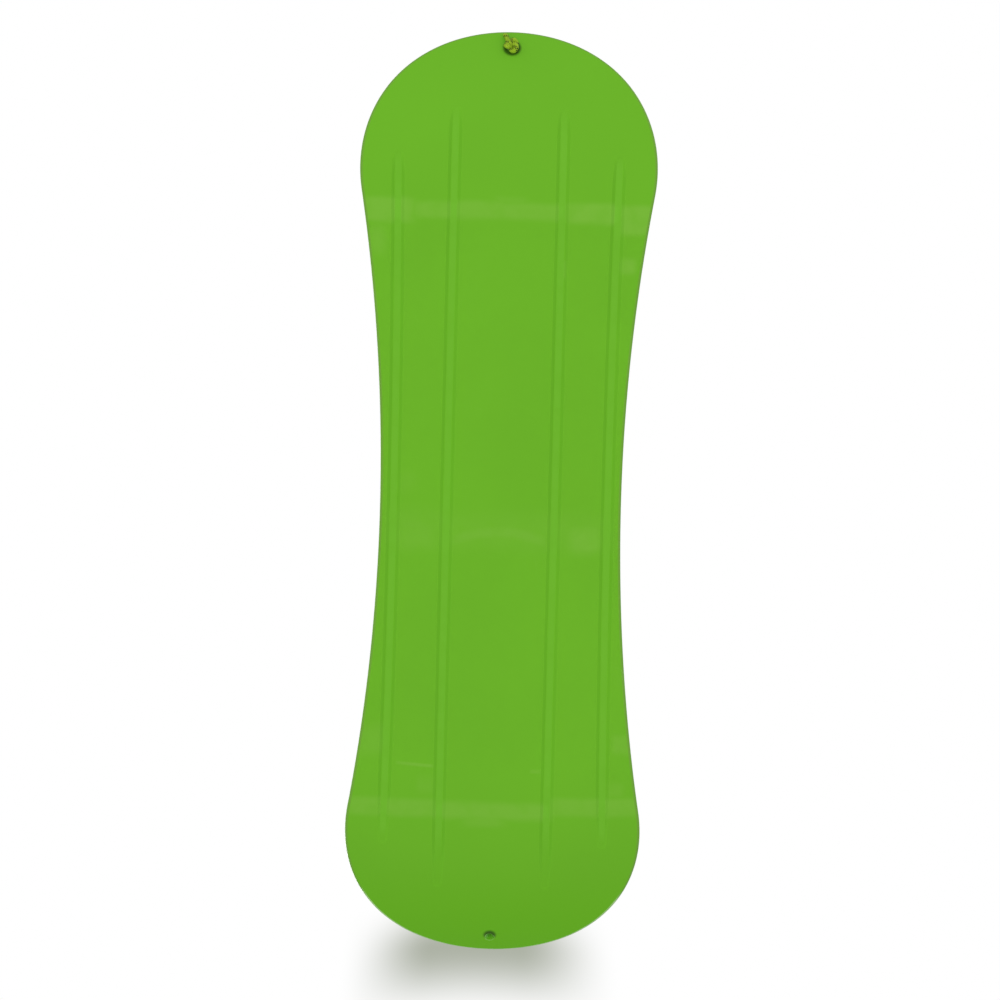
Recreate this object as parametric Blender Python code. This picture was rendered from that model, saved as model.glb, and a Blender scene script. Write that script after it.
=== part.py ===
"""Children's plastic snowboard: a moulded board, two strap bindings and a tow rope.

Metres. X runs along the board to the nose, Y across it to the heel edge, and Z up from the running base.
Each binding is drawn in its own frame, with its middle on the deck, X away from the middle of the board
and Y towards the heel. The rear binding is the front one mirrored.
"""

import math

import bmesh
import bpy
from mathutils import Matrix, Vector

MM = 0.001

# Clearances
TOUCH = 0.3 * MM  # between faces that touch
OVERCUT = 1 * MM  # a cutter's reach past the face that it opens

# Board, measured on the flat blank before its tips are turned up
BOARD_LENGTH = 950 * MM
BOARD_WIDTH = 291 * MM  # at the widest, near each tip
WAIST_WIDTH = 236.5 * MM
BOARD_THICKNESS = 8 * MM
EDGE_ROUNDING = 2.5 * MM
KICK_START = 271 * MM  # from the middle to where each tip begins to turn up
KICK_RADIUS = 289 * MM  # of the base in the turned-up tips
END_STEPS = 15
SIDE_STEPS = 6
KICK_STEPS = 8

# Grooves in the base
GROOVE_WIDTH = 12.5 * MM
GROOVE_FLOOR = 6 * MM
GROOVE_DEPTH = 2.5 * MM
INNER_GROOVE_OFFSET = 53 * MM
INNER_GROOVE_REACH = 391.5 * MM  # from the middle to each end
OUTER_GROOVE_OFFSET = 105.1 * MM
OUTER_GROOVE_REACH = 344 * MM
OUTER_GROOVE_BOW = 3.3 * MM  # how far its ends stand out past its middle
GROOVE_STEPS = 6
GROOVE_END_STEPS = 5

# Rope holes
ROPE_HOLE_RADIUS = 4.5 * MM
ROPE_HOLE_INSET = 20 * MM  # from each tip to the hole's centre

# Threaded inserts and the screws of the mounting discs
INSERT_RADIUS = 4.7 * MM
INSERT_HEIGHT = 5.7 * MM
INSERT_FLOOR = 1.2 * MM
SCREW_RADIUS = 3 * MM
SCREW_HEAD_RADIUS = 5.5 * MM
SCREW_HEAD_HEIGHT = 1.8 * MM
SCREW_SPACING = 40 * MM  # side of the square that the four screws stand on
SCREW_END_GAP = 0.6 * MM  # under the screw's tip

# Where the bindings stand, from the middle of the board
FRONT_BINDING = 120 * MM
REAR_BINDING = -190 * MM

# Baseplate
BOOT_WIDTH = 88 * MM  # between the side walls
WALL = 3.5 * MM
FLOOR = 6 * MM
FLOOR_INSET = 0.5 * MM  # from the side walls' outer faces to the floor's rim
TOE_END = 92 * MM
TOE_CORNER = 18 * MM
HEEL_CENTRE = 58 * MM  # of the round heel
WALL_END = 56 * MM
WALL_TOE = 80 * MM
WALL_DIP_HEIGHT = 18 * MM
WALL_CREST = 6.5 * MM  # over a hinge pin
WALL_CORNER = 6 * MM
CORNER_STEPS = 3

# Mounting disc
DISC_RADIUS = 38 * MM
DISC_BOSS_RADIUS = 34 * MM
LEDGE_HEIGHT = 3 * MM

# Footbed
FOOTBED = 3 * MM
FOOTBED_MARGIN = 0.6 * MM  # to the side walls
FOOTBED_TOE_INSET = 4 * MM

# Heel hoop
HOOP = 3.5 * MM
HOOP_FRONT = 26 * MM
HOOP_ARM_LOW = 5 * MM
HOOP_ARM_HIGH = 25 * MM
HOOP_BACK_LOW = 12 * MM
HOOP_BACK_HIGH = 66 * MM
HOOP_STEPS = 12
POST_RADIUS = 2.5 * MM
POST_HEAD_RADIUS = 5 * MM
POST_HEAD = 1.6 * MM
POST_PLACES = (34 * MM, 49 * MM)
POST_HEIGHT = 15 * MM

# Straps
STRAP = 3 * MM
TAB = 2.7 * MM
STEP_ANGLE = 7.5  # degrees between a strap's sections
STRAP_LAST = 150.0
TAB_FIRST = 112.5
TAB_TAIL = 12 * MM  # below the hinge's height
PAD = 7 * MM
PAD_WIDTH = 50 * MM
PAD_FIRST = 30.0
PAD_LAST = 105.0
PIN_RADIUS = 2 * MM
PIN_HEAD_RADIUS = 3.4 * MM
PIN_HEAD = 1.2 * MM
EAR = 4 * MM
EAR_RADIUS = 5.5 * MM
RIVET_RADIUS = 2 * MM
RIVET_HEAD_RADIUS = 3.6 * MM
RIVET_HEAD = 1.5 * MM
RIVET_DROP = 6.5 * MM  # below the hinge's height
ROUND_STEPS = 14  # sides of a hinge's barrel and ears
SMALL_STEPS = 10  # sides of a pin, screw, insert or rope hole
DISC_STEPS = 32

# Rope
ROPE_RADIUS = 2.5 * MM
COIL_RADIUS = 28 * MM  # to the middle of its turns
COIL_TURNS = 2.5  # in each of its two layers
COIL_PITCH = 5.6 * MM
COIL_LAYER = 5.45 * MM
COIL_CENTRE = 218 * MM
COIL_POINTS = 24  # a loop
BAND = 1 * MM
BAND_WIDTH = 8 * MM
BAND_ROOM = 0.9 * MM  # round the rope's turns
LEAD_SPACING = 11 * MM
LEAD_START = 0.8 * MM  # over the base, inside the nose hole
KNOT_SCALE = 2.05 * MM
KNOT_SWELL = 1.9 * MM
KNOT_VOXEL = 0.9 * MM
KNOT_KEEP = 0.26  # share of the knot's faces that is kept
TAIL_REACH = 15 * MM  # from the knot's hole towards the tip

# Values that follow from those above
HALF_INSIDE = BOOT_WIDTH / 2
HALF_OUTSIDE = HALF_INSIDE + WALL
FLOOR_TOP = TOUCH + FLOOR
BARREL_RADIUS = STRAP / 2 + TOUCH + TAB
ARCH_HALF = HALF_OUTSIDE + TOUCH + BARREL_RADIUS
ARCH_FOOT = WALL_CREST + TOUCH  # over a hinge pin, to where a strap begins to curve
ROPE_ON_DECK = BOARD_THICKNESS + 2 * TOUCH + ROPE_RADIUS
HOLE_PLACE = BOARD_LENGTH / 2 - ROPE_HOLE_INSET
KNOT_HALF = 3 * KNOT_SCALE + ROPE_RADIUS


class StrapPlace:
    """Where a strap stands in its binding, and its size."""

    def __init__(self, along, height, lean, rise, width, barrel):
        self.rise = rise
        self.half = width / 2
        self.barrel_half = barrel / 2
        self.ear_half = self.barrel_half + TOUCH + EAR
        self.lean = lean
        self.centre = Vector((0, along, height))
        self.frame = Matrix.Translation(self.centre) @ Matrix.Rotation(math.radians(lean), 4, "X")

    def point(self, angle, offset, across=0.0):
        """A point of the arch in the strap's plane, set off outwards from the strap's middle line."""
        turn = math.radians(angle)
        cosine, sine = math.cos(turn), math.sin(turn)
        outward = Vector((-self.rise * cosine, 0, ARCH_HALF * sine)).normalized()
        return Vector((-ARCH_HALF * cosine, across, ARCH_FOOT + self.rise * sine)) + outward * offset


ANKLE = StrapPlace(along=36 * MM, height=42 * MM, lean=30.0, rise=60 * MM, width=36 * MM, barrel=24 * MM)
TOE = StrapPlace(along=-58 * MM, height=24 * MM, lean=10.0, rise=31 * MM, width=30 * MM, barrel=20 * MM)


def clear_scene():
    for item in list(bpy.data.objects):
        bpy.data.objects.remove(item, do_unlink=True)


def material(name, colour, roughness, metallic=0.0):
    """A plain material. The colour is linear."""
    made = bpy.data.materials.new(name)
    made.use_nodes = True
    shader = made.node_tree.nodes["Principled BSDF"]
    shader.inputs["Base Color"].default_value = (*colour, 1)
    shader.inputs["Roughness"].default_value = roughness
    shader.inputs["Metallic"].default_value = metallic
    made.diffuse_color = (*colour, 1)
    return made


def empty(name, location, turn=None, parent=None):
    made = bpy.data.objects.new(name, None)
    bpy.context.scene.collection.objects.link(made)
    made.parent = parent
    made.location = location
    if turn is not None:
        made.rotation_euler = turn
    return made


def node(name, bm, dress, parent=None):
    """Turn a bmesh, drawn in its parent's frame, into a named object."""
    bmesh.ops.recalc_face_normals(bm, faces=bm.faces)
    mesh = bpy.data.meshes.new(name)
    bm.to_mesh(mesh)
    bm.free()
    mesh.shade_smooth()
    mesh.set_sharp_from_angle(angle=math.radians(35))
    mesh.materials.append(dress)
    made = bpy.data.objects.new(name, mesh)
    bpy.context.scene.collection.objects.link(made)
    made.parent = parent
    return made


def loft(rings):
    """A closed solid through rings of equally many points."""
    bm = bmesh.new()
    loops = [[bm.verts.new(point) for point in ring] for ring in rings]
    count = len(loops[0])
    for low, high in zip(loops, loops[1:]):
        for i in range(count):
            j = (i + 1) % count
            bm.faces.new((low[i], low[j], high[j], high[i]))
    bm.faces.new(loops[0])
    bm.faces.new(reversed(loops[-1]))
    bmesh.ops.recalc_face_normals(bm, faces=bm.faces)
    return bm


def prism(outline, low, high):
    """An outline in X and Y, raised from low to high."""
    return loft([[Vector((x, y, height)) for x, y in outline] for height in (low, high)])


def turned(profile, steps=SMALL_STEPS):
    """A profile of radius and height, turned about Z. It starts and ends on the axis, or closes on itself."""
    bm = bmesh.new()
    points = [bm.verts.new((radius, 0, height)) for radius, height in profile]
    edges = [bm.edges.new(pair) for pair in zip(points, points[1:])]
    if profile[0][0] > 0:
        edges.append(bm.edges.new((points[-1], points[0])))
    bmesh.ops.spin(
        bm, geom=points + edges, cent=(0, 0, 0), axis=(0, 0, 1), angle=math.tau, steps=steps, use_merge=True
    )
    bmesh.ops.remove_doubles(bm, verts=bm.verts, dist=0.001 * MM)
    bmesh.ops.recalc_face_normals(bm, faces=bm.faces)
    return bm


def rod(radius, low, high, steps=SMALL_STEPS):
    return turned([(0, low), (radius, low), (radius, high), (0, high)], steps)


def moved(bm, matrix):
    bmesh.ops.transform(bm, matrix=matrix, verts=bm.verts)
    return bm


def gathered(pieces):
    """One bmesh that holds the given ones side by side."""
    whole = bmesh.new()
    for piece in pieces:
        mesh = bpy.data.meshes.new("piece")
        piece.to_mesh(mesh)
        whole.from_mesh(mesh)
        piece.free()
        bpy.data.meshes.remove(mesh)
    return whole


def combined(base, tool, operation):
    """The base after a Boolean with the tool."""
    helpers = []
    for name, bm in (("base", base), ("tool", tool)):
        mesh = bpy.data.meshes.new(name)
        bm.to_mesh(mesh)
        bm.free()
        helper = bpy.data.objects.new(name, mesh)
        bpy.context.scene.collection.objects.link(helper)
        helpers.append(helper)
    cut = helpers[0].modifiers.new("cut", "BOOLEAN")
    cut.operation = operation
    cut.object = helpers[1]
    result = bmesh.new()
    result.from_mesh(helpers[0].evaluated_get(bpy.context.evaluated_depsgraph_get()).to_mesh())
    for helper in helpers:
        mesh = helper.data
        bpy.data.objects.remove(helper, do_unlink=True)
        bpy.data.meshes.remove(mesh)
    return result


def rounded(corners, radius, steps=CORNER_STEPS):
    """A polygon with each corner of the given radius, or of its own where a corner has a third value."""
    outline = []
    count = len(corners)
    for i, corner in enumerate(corners):
        here = Vector(corner[:2])
        own = corner[2] if len(corner) > 2 else radius
        if own == 0:
            outline.append(tuple(here))
            continue
        before = (Vector(corners[i - 1][:2]) - here).normalized()
        after = (Vector(corners[(i + 1) % count][:2]) - here).normalized()
        half = before.angle(after) / 2
        centre = here + (before + after).normalized() * (own / math.sin(half))
        start = here + before * (own / math.tan(half)) - centre
        sweep = start.angle_signed(here + after * (own / math.tan(half)) - centre)
        for step in range(steps + 1):
            turn = Matrix.Rotation(-sweep * step / steps, 2)
            outline.append(tuple(centre + turn @ start))
    return outline


def bent(point):
    """A point of the flat blank, given along, across and up, on the board with its tips turned up."""
    along, across, up = point
    past = abs(along) - KICK_START
    if past <= 0:
        return Vector(point)
    angle = past / KICK_RADIUS
    radius = KICK_RADIUS - up
    reach = KICK_START + radius * math.sin(angle)
    return Vector((math.copysign(reach, along), across, KICK_RADIUS - radius * math.cos(angle)))


def board_outline():
    """The flat outline: in each quarter an end arc and a sidecut arc, which meet with a common tangent."""
    end_radius = BOARD_WIDTH / 2
    end_centre = BOARD_LENGTH / 2 - end_radius
    waist = WAIST_WIDTH / 2
    side_radius = (end_centre**2 + waist**2 - end_radius**2) / (2 * (end_radius - waist))
    side_centre = waist + side_radius
    end_sweep = math.atan2(side_centre, -end_centre)
    side_sweep = math.atan2(end_centre, side_centre)
    quarter = []
    for i in range(END_STEPS + 1):
        turn = end_sweep * i / END_STEPS
        quarter.append((end_centre + end_radius * math.cos(turn), end_radius * math.sin(turn)))
    for i in range(1, SIDE_STEPS + 1):
        turn = side_sweep * (1 - i / SIDE_STEPS)
        quarter.append((side_radius * math.sin(turn), side_centre - side_radius * math.cos(turn)))
    half = quarter + [(-x, y) for x, y in reversed(quarter[:-1])]
    return half + [(x, -y) for x, y in reversed(half[1:-1])]


def groove_cutter(reach, offset, bow):
    """A long cutter with sloping walls and round ends, which follows the sidecut by its bow."""
    straight = reach - GROOVE_WIDTH / 2
    slope = (GROOVE_WIDTH - GROOVE_FLOOR) / 2 / GROOVE_DEPTH

    def side(along):
        return offset + bow * (along / straight) ** 2

    rings = []
    for height in (-OVERCUT, GROOVE_DEPTH):
        half = GROOVE_WIDTH / 2 - slope * height
        ring = []
        for end in (1, -1):
            for i in range(GROOVE_END_STEPS + 1):
                turn = math.pi * (i / GROOVE_END_STEPS - 0.5)
                along = end * (straight + half * math.cos(turn))
                ring.append((along, side(straight) + end * half * math.sin(turn)))
            for i in range(1, GROOVE_STEPS):
                along = straight * (1 - 2 * i / GROOVE_STEPS)
                ring.append((end * along, side(along) + end * half))
        rings.append([Vector((x, y, height)) for x, y in ring])
    return loft(rings)


def insert_places():
    """The screws' places in a binding's frame."""
    reach = SCREW_SPACING / 2
    return [(x, y) for x in (-reach, reach) for y in (-reach, reach)]


def make_board(dress):
    blank = prism(board_outline(), 0, BOARD_THICKNESS)
    rims = [edge for edge in blank.edges if abs(edge.verts[0].co.z - edge.verts[1].co.z) < TOUCH]
    bmesh.ops.bevel(
        blank, geom=rims, offset=EDGE_ROUNDING, segments=2, profile=0.5, affect="EDGES", clamp_overlap=True
    )
    cutters = []
    for side in (1, -1):
        mirror = Matrix.Diagonal((1, side, 1, 1))
        inner_groove = groove_cutter(INNER_GROOVE_REACH, INNER_GROOVE_OFFSET, 0)
        outer_groove = groove_cutter(OUTER_GROOVE_REACH, OUTER_GROOVE_OFFSET, OUTER_GROOVE_BOW)
        cutters += [moved(inner_groove, mirror), moved(outer_groove, mirror)]
        hole = rod(ROPE_HOLE_RADIUS, -OVERCUT, BOARD_THICKNESS + OVERCUT)
        cutters.append(moved(hole, Matrix.Translation((side * HOLE_PLACE, 0, 0))))
    for place in (FRONT_BINDING, REAR_BINDING):
        for x, y in insert_places():
            pocket = rod(
                INSERT_RADIUS + TOUCH, BOARD_THICKNESS - INSERT_HEIGHT - TOUCH, BOARD_THICKNESS + OVERCUT
            )
            cutters.append(moved(pocket, Matrix.Translation((place + x, y, 0))))
    cutter = gathered(cutters)
    bmesh.ops.recalc_face_normals(cutter, faces=cutter.faces)
    board = combined(blank, cutter, "DIFFERENCE")
    bmesh.ops.triangulate(board, faces=board.faces)
    for i in range(KICK_STEPS):
        along = KICK_START + (BOARD_LENGTH / 2 - KICK_START) * i / KICK_STEPS
        for end in (along, -along):
            whole = board.verts[:] + board.edges[:] + board.faces[:]
            bmesh.ops.bisect_plane(
                board, geom=whole, dist=0.01 * MM, plane_co=(end, 0, 0), plane_no=(1, 0, 0)
            )
    bmesh.ops.triangulate(board, faces=board.faces)
    for vertex in board.verts:
        vertex.co = bent(vertex.co)
    node("board", board, dress)


def wall_profile():
    """The side wall's outline in Y and Z: a hump at each strap's hinge and a dip between them."""
    def crest(place, end):
        point = place.frame @ Vector((0, end * place.ear_half, WALL_CREST))
        return (point.y, point.z)

    low = TOUCH + FLOOR / 2
    return rounded(
        [
            (-WALL_TOE, low, 0),
            (-WALL_TOE, FLOOR_TOP + WALL_CORNER, 3 * MM),
            crest(TOE, -1),
            crest(TOE, 1),
            (-TOE_CORNER, WALL_DIP_HEIGHT, 2 * WALL_CORNER),
            (0, WALL_DIP_HEIGHT, 2 * WALL_CORNER),
            crest(ANKLE, -1),
            crest(ANKLE, 1),
            (WALL_END, crest(ANKLE, 1)[1] - WALL_CORNER, 3 * MM),
            (WALL_END, low, 0),
        ],
        WALL_CORNER,
    )


def plan_outline(half, toe, corner, steps=HOOP_STEPS):
    """A plate's outline in X and Y: square toe with round corners and a half-round heel."""
    toe_corners = [(-half, -toe, corner), (half, -toe, corner)]
    outline = rounded([(-half, HEEL_CENTRE, 0), *toe_corners, (half, HEEL_CENTRE, 0)], corner)
    for i in range(1, steps):
        turn = math.pi * i / steps
        outline.append((half * math.cos(turn), HEEL_CENTRE + half * math.sin(turn)))
    return outline


def along_x(bm, place=(0, 0, 0)):
    """Lay a piece that was turned about Z along X, with its top outwards."""
    return moved(bm, Matrix.Translation(place) @ Matrix.Rotation(math.pi / 2, 4, "Y"))


def ear(place, low):
    """A hinge ear in the strap's frame, from low across its thickness, rooted in the side wall."""
    root = -(HALF_OUTSIDE - WALL / 2)
    outline = [(root, -EAR_RADIUS * 1.4), (root, EAR_RADIUS * 1.1)]
    for i in range(ROUND_STEPS // 2 + 1):
        turn = math.pi / 2 + math.pi * i / (ROUND_STEPS // 2)
        outline.append((-ARCH_HALF + EAR_RADIUS * math.cos(turn), EAR_RADIUS * math.sin(turn)))
    rings = [[Vector((x, across, z)) for x, z in outline] for across in (low, low + EAR)]
    return moved(loft(rings), place.frame)


def pin_hole(place):
    """The cutter for a hinge pin's bore, through both ears."""
    reach = place.ear_half + OVERCUT
    lying = Matrix.Translation((-ARCH_HALF, 0, 0)) @ Matrix.Rotation(math.pi / 2, 4, "X")
    return moved(rod(PIN_RADIUS + TOUCH, -reach, reach), place.frame @ lying)


def rivet_place(place):
    """The rivet's axis in the binding's frame, at X = 0."""
    return place.frame @ Vector((0, 0, -RIVET_DROP))


def make_baseplate(name, parent, mirror, dress):
    plate = prism(plan_outline(HALF_OUTSIDE - FLOOR_INSET, TOE_END, TOE_CORNER), TOUCH, FLOOR_TOP)
    profile = wall_profile()
    for side in (1, -1):
        rings = [[Vector((side * x, y, z)) for y, z in profile] for x in (HALF_INSIDE, HALF_OUTSIDE)]
        plate = combined(plate, loft(rings), "UNION")
    for place in (ANKLE, TOE):
        for low in (place.barrel_half + TOUCH, -place.ear_half):
            plate = combined(plate, ear(place, low), "UNION")
    ledge = TOUCH + LEDGE_HEIGHT
    opening = turned(
        [
            (0, -OVERCUT),
            (DISC_BOSS_RADIUS + TOUCH, -OVERCUT),
            (DISC_BOSS_RADIUS + TOUCH, ledge),
            (DISC_RADIUS + TOUCH, ledge),
            (DISC_RADIUS + TOUCH, FLOOR_TOP + OVERCUT),
            (0, FLOOR_TOP + OVERCUT),
        ],
        DISC_STEPS,
    )
    holes = [opening, pin_hole(ANKLE), pin_hole(TOE)]
    reach = HALF_OUTSIDE + OVERCUT
    for side in (1, -1):
        for along in POST_PLACES:
            post = rod(POST_RADIUS + TOUCH, HALF_INSIDE - OVERCUT, reach)
            mirrored = Matrix.Diagonal((side, 1, 1, 1))
            holes.append(moved(along_x(post, (0, along, POST_HEIGHT)), mirrored))
    for place in (ANKLE, TOE):
        holes.append(along_x(rod(RIVET_RADIUS + TOUCH, HALF_INSIDE - OVERCUT, reach), rivet_place(place)))
    cutter = gathered(holes)
    bmesh.ops.recalc_face_normals(cutter, faces=cutter.faces)
    node(name, moved(combined(plate, cutter, "DIFFERENCE"), mirror), dress, parent)


def make_disc(name, parent, mirror, dress):
    seat = TOUCH + LEDGE_HEIGHT + TOUCH
    disc = turned(
        [(0, 2 * TOUCH), (DISC_BOSS_RADIUS, 2 * TOUCH), (DISC_BOSS_RADIUS, seat), (DISC_RADIUS, seat),
         (DISC_RADIUS, FLOOR_TOP), (0, FLOOR_TOP)],
        DISC_STEPS,
    )
    recess = FLOOR_TOP - SCREW_HEAD_HEIGHT - TOUCH
    holes = []
    for x, y in insert_places():
        hole = turned([
            (0, -OVERCUT), (SCREW_RADIUS + TOUCH, -OVERCUT), (SCREW_RADIUS + TOUCH, recess),
            (SCREW_HEAD_RADIUS + TOUCH, recess), (SCREW_HEAD_RADIUS + TOUCH, FLOOR_TOP + OVERCUT),
            (0, FLOOR_TOP + OVERCUT),
        ])
        holes.append(moved(hole, Matrix.Translation((x, y, 0))))
    cutter = gathered(holes)
    bmesh.ops.recalc_face_normals(cutter, faces=cutter.faces)
    node(name, moved(combined(disc, cutter, "DIFFERENCE"), mirror), dress, parent)


def make_inserts_and_screws(label, parent, insert_dress, screw_dress):
    bore_end = -INSERT_HEIGHT + INSERT_FLOOR
    for i, (x, y) in enumerate(insert_places(), 1):
        place = Matrix.Translation((x, y, 0))
        insert = turned([
            (0, -INSERT_HEIGHT), (INSERT_RADIUS, -INSERT_HEIGHT), (INSERT_RADIUS, 0),
            (SCREW_RADIUS + TOUCH, 0), (SCREW_RADIUS + TOUCH, bore_end), (0, bore_end),
        ])
        node(f"{label}_insert_{i}", moved(insert, place), insert_dress, parent)
        seat = FLOOR_TOP - SCREW_HEAD_HEIGHT
        tip = bore_end + SCREW_END_GAP
        screw = turned([
            (0, tip), (SCREW_RADIUS, tip), (SCREW_RADIUS, seat), (SCREW_HEAD_RADIUS, seat),
            (SCREW_HEAD_RADIUS, FLOOR_TOP - SCREW_HEAD_HEIGHT / 3), (0, FLOOR_TOP),
        ])
        node(f"{label}_disc_screw_{i}", moved(screw, place), screw_dress, parent)


def make_footbed(name, parent, mirror, dress):
    half = HALF_INSIDE - FOOTBED_MARGIN
    low = FLOOR_TOP + TOUCH
    bed = prism(plan_outline(half, TOE_END - FOOTBED_TOE_INSET, TOE_CORNER), low, low + FOOTBED)
    rim = [edge for edge in bed.edges if min(vertex.co.z for vertex in edge.verts) > low + FOOTBED / 2]
    bmesh.ops.bevel(bed, geom=rim, offset=FOOTBED / 3, segments=1, profile=0.5, affect="EDGES")
    node(name, moved(bed, mirror), dress, parent)


def make_heel_hoop(name, parent, mirror, dress):
    """A band that runs back from each side wall and round the heel, and rises at the back."""
    inner = HALF_OUTSIDE + TOUCH
    arm_end = 3 * MM  # over which the arm's tip rounds off
    stations = [(HOOP_FRONT, arm_end, -arm_end), (HOOP_FRONT + arm_end, 0, 0)]
    half = [
        (Vector((1, 0)), along, HOOP_ARM_LOW + low, HOOP_ARM_HIGH + high) for along, low, high in stations
    ]
    whole = list(half)
    for i in range(HOOP_STEPS + 1):
        turn = math.pi * i / HOOP_STEPS
        rise = math.sin(turn) ** 2
        low = HOOP_ARM_LOW + (HOOP_BACK_LOW - HOOP_ARM_LOW) * rise
        high = HOOP_ARM_HIGH + (HOOP_BACK_HIGH - HOOP_ARM_HIGH) * rise
        whole.append((Vector((math.cos(turn), math.sin(turn))), HEEL_CENTRE, low, high))
    whole += [(Vector((-1, 0)), along, low, high) for _, along, low, high in reversed(half)]
    rings = []
    for outward, along, low, high in whole:
        corners = ((inner, low), (inner + HOOP, low), (inner + HOOP, high), (inner, high))
        rings.append([Vector((outward.x * reach, along + outward.y * reach, z)) for reach, z in corners])
    holes = []
    for along in POST_PLACES:
        for side in (1, -1):
            hole = rod(POST_RADIUS + TOUCH, inner - OVERCUT, inner + HOOP + OVERCUT)
            hole = along_x(hole, (0, along, POST_HEIGHT))
            holes.append(moved(hole, Matrix.Diagonal((side, 1, 1, 1))))
    cutter = gathered(holes)
    bmesh.ops.recalc_face_normals(cutter, faces=cutter.faces)
    node(name, moved(combined(loft(rings), cutter, "DIFFERENCE"), mirror), dress, parent)


def clinched(radius, head_radius, head, inner, outer):
    """A pin with a head at each end, along Z: inner and outer are the faces that it holds together."""
    low = inner - TOUCH
    high = outer + TOUCH
    return turned([
        (0, low - head), (head_radius, low - head / 3), (head_radius, low), (radius, low),
        (radius, high), (head_radius, high), (head_radius, high + head / 3), (0, high + head),
    ])


def make_fasteners(label, parent, mirror, dress):
    number = 0
    for side in (1, -1):
        for along in POST_PLACES:
            number += 1
            outer = HALF_OUTSIDE + TOUCH + HOOP
            post = clinched(POST_RADIUS, POST_HEAD_RADIUS, POST_HEAD, HALF_INSIDE, outer)
            post = moved(along_x(post, (0, along, POST_HEIGHT)), Matrix.Diagonal((side, 1, 1, 1)))
            node(f"{label}_hoop_screw_{number}", moved(post, mirror), dress, parent)
    for kind, place in (("ankle", ANKLE), ("toe", TOE)):
        pin = clinched(PIN_RADIUS, PIN_HEAD_RADIUS, PIN_HEAD, -place.ear_half, place.ear_half)
        lying = Matrix.Translation((-ARCH_HALF, 0, 0)) @ Matrix.Rotation(math.pi / 2, 4, "X")
        node(f"{label}_{kind}_pin", moved(pin, mirror @ place.frame @ lying), dress, parent)
        rivet = clinched(RIVET_RADIUS, RIVET_HEAD_RADIUS, RIVET_HEAD, HALF_INSIDE, HALF_OUTSIDE + TOUCH + TAB)
        rivet = along_x(rivet, rivet_place(place))
        node(f"{label}_{kind}_rivet", moved(rivet, mirror), dress, parent)


def smooth_step(value, low, high):
    share = min(1.0, max(0.0, (value - low) / (high - low)))
    return share * share * (3 - 2 * share)


def band_ring(place, angle, half, inner, outer, drop=0.0):
    """A strap's or tab's section, square across its plane. A drop sets it below the arch's end."""
    return [
        place.point(angle, offset, across) - Vector((0, 0, drop))
        for offset, across in ((inner, -half), (outer, -half), (outer, half), (inner, half))
    ]


def make_strap(name, place, parent, mirror, dress):
    """The moving half: a barrel on the hinge pin and a band that arches over the boot."""
    root = (PIN_RADIUS + BARREL_RADIUS) / 2
    rings = [band_ring(place, 0, place.barrel_half, -STRAP / 2, STRAP / 2, ARCH_FOOT - root)]
    for i in range(round(STRAP_LAST / STEP_ANGLE) + 1):
        angle = STEP_ANGLE * i
        height = place.point(min(angle, 90), 0).z
        wide = smooth_step(height, 1.7 * EAR_RADIUS, 3.2 * EAR_RADIUS)
        half = place.barrel_half + (place.half - place.barrel_half) * wide
        half *= 1 - 0.45 * smooth_step(angle, STRAP_LAST - 2 * STEP_ANGLE, STRAP_LAST)
        rings.append(band_ring(place, angle, half, -STRAP / 2, STRAP / 2))
    barrel = turned([
        (PIN_RADIUS + TOUCH, -place.barrel_half), (BARREL_RADIUS, -place.barrel_half),
        (BARREL_RADIUS, place.barrel_half), (PIN_RADIUS + TOUCH, place.barrel_half),
    ], ROUND_STEPS)
    lying = Matrix.Translation((-ARCH_HALF, 0, 0)) @ Matrix.Rotation(math.pi / 2, 4, "X")
    strap = combined(loft(rings), moved(barrel, lying), "UNION")
    node(name, moved(strap, mirror @ Matrix.Translation((ARCH_HALF, 0, 0))), dress, parent)


def make_pad(name, place, parent, mirror, dress):
    """The pad under the ankle strap, crowned across and drawn in at both ends."""
    outer = -STRAP / 2 - TOUCH
    steps = round((PAD_LAST - PAD_FIRST) / STEP_ANGLE)
    rings = []
    for i in range(steps + 1):
        fullness = math.sin(math.pi * (0.12 + 0.76 * i / steps)) ** 0.5
        half = PAD_WIDTH / 2 * (0.55 + 0.45 * fullness)
        deep = PAD * fullness
        corners = ((0, 0.8), (0.45, 1), (0.85, 0.75), (1, 0.35))
        section = corners + tuple((down, -across) for down, across in reversed(corners))
        angle = PAD_FIRST + STEP_ANGLE * i
        rings.append([place.point(angle, outer - down * deep, across * half) for down, across in section])
    node(name, moved(loft(rings), mirror @ Matrix.Translation((ARCH_HALF, 0, 0))), dress, parent)


def make_tab(name, place, parent, mirror, dress):
    """The fixed half: riveted to the outer side wall, it runs up under the strap's free end."""
    outer = -STRAP / 2 - TOUCH
    inner = outer - TAB
    rings = []
    steps = round((180 - TAB_FIRST) / STEP_ANGLE)
    for i in range(steps + 1):
        angle = TAB_FIRST + STEP_ANGLE * i
        half = place.half * (0.55 + 0.45 * smooth_step(angle, TAB_FIRST, TAB_FIRST + 2 * STEP_ANGLE))
        rings.append(band_ring(place, angle, half, inner, outer))
    for share, narrow in ((0.3, 0.95), (0.75, 0.75), (1.0, 0.45)):
        rings.append(band_ring(place, 180, narrow * place.half, inner, outer, ARCH_FOOT + share * TAB_TAIL))
    hole = along_x(rod(RIVET_RADIUS + TOUCH, HALF_OUTSIDE, ARCH_HALF), (0, 0, -RIVET_DROP))
    tab = combined(loft(rings), hole, "DIFFERENCE")
    node(name, moved(tab, mirror @ place.frame), dress, parent)


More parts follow.
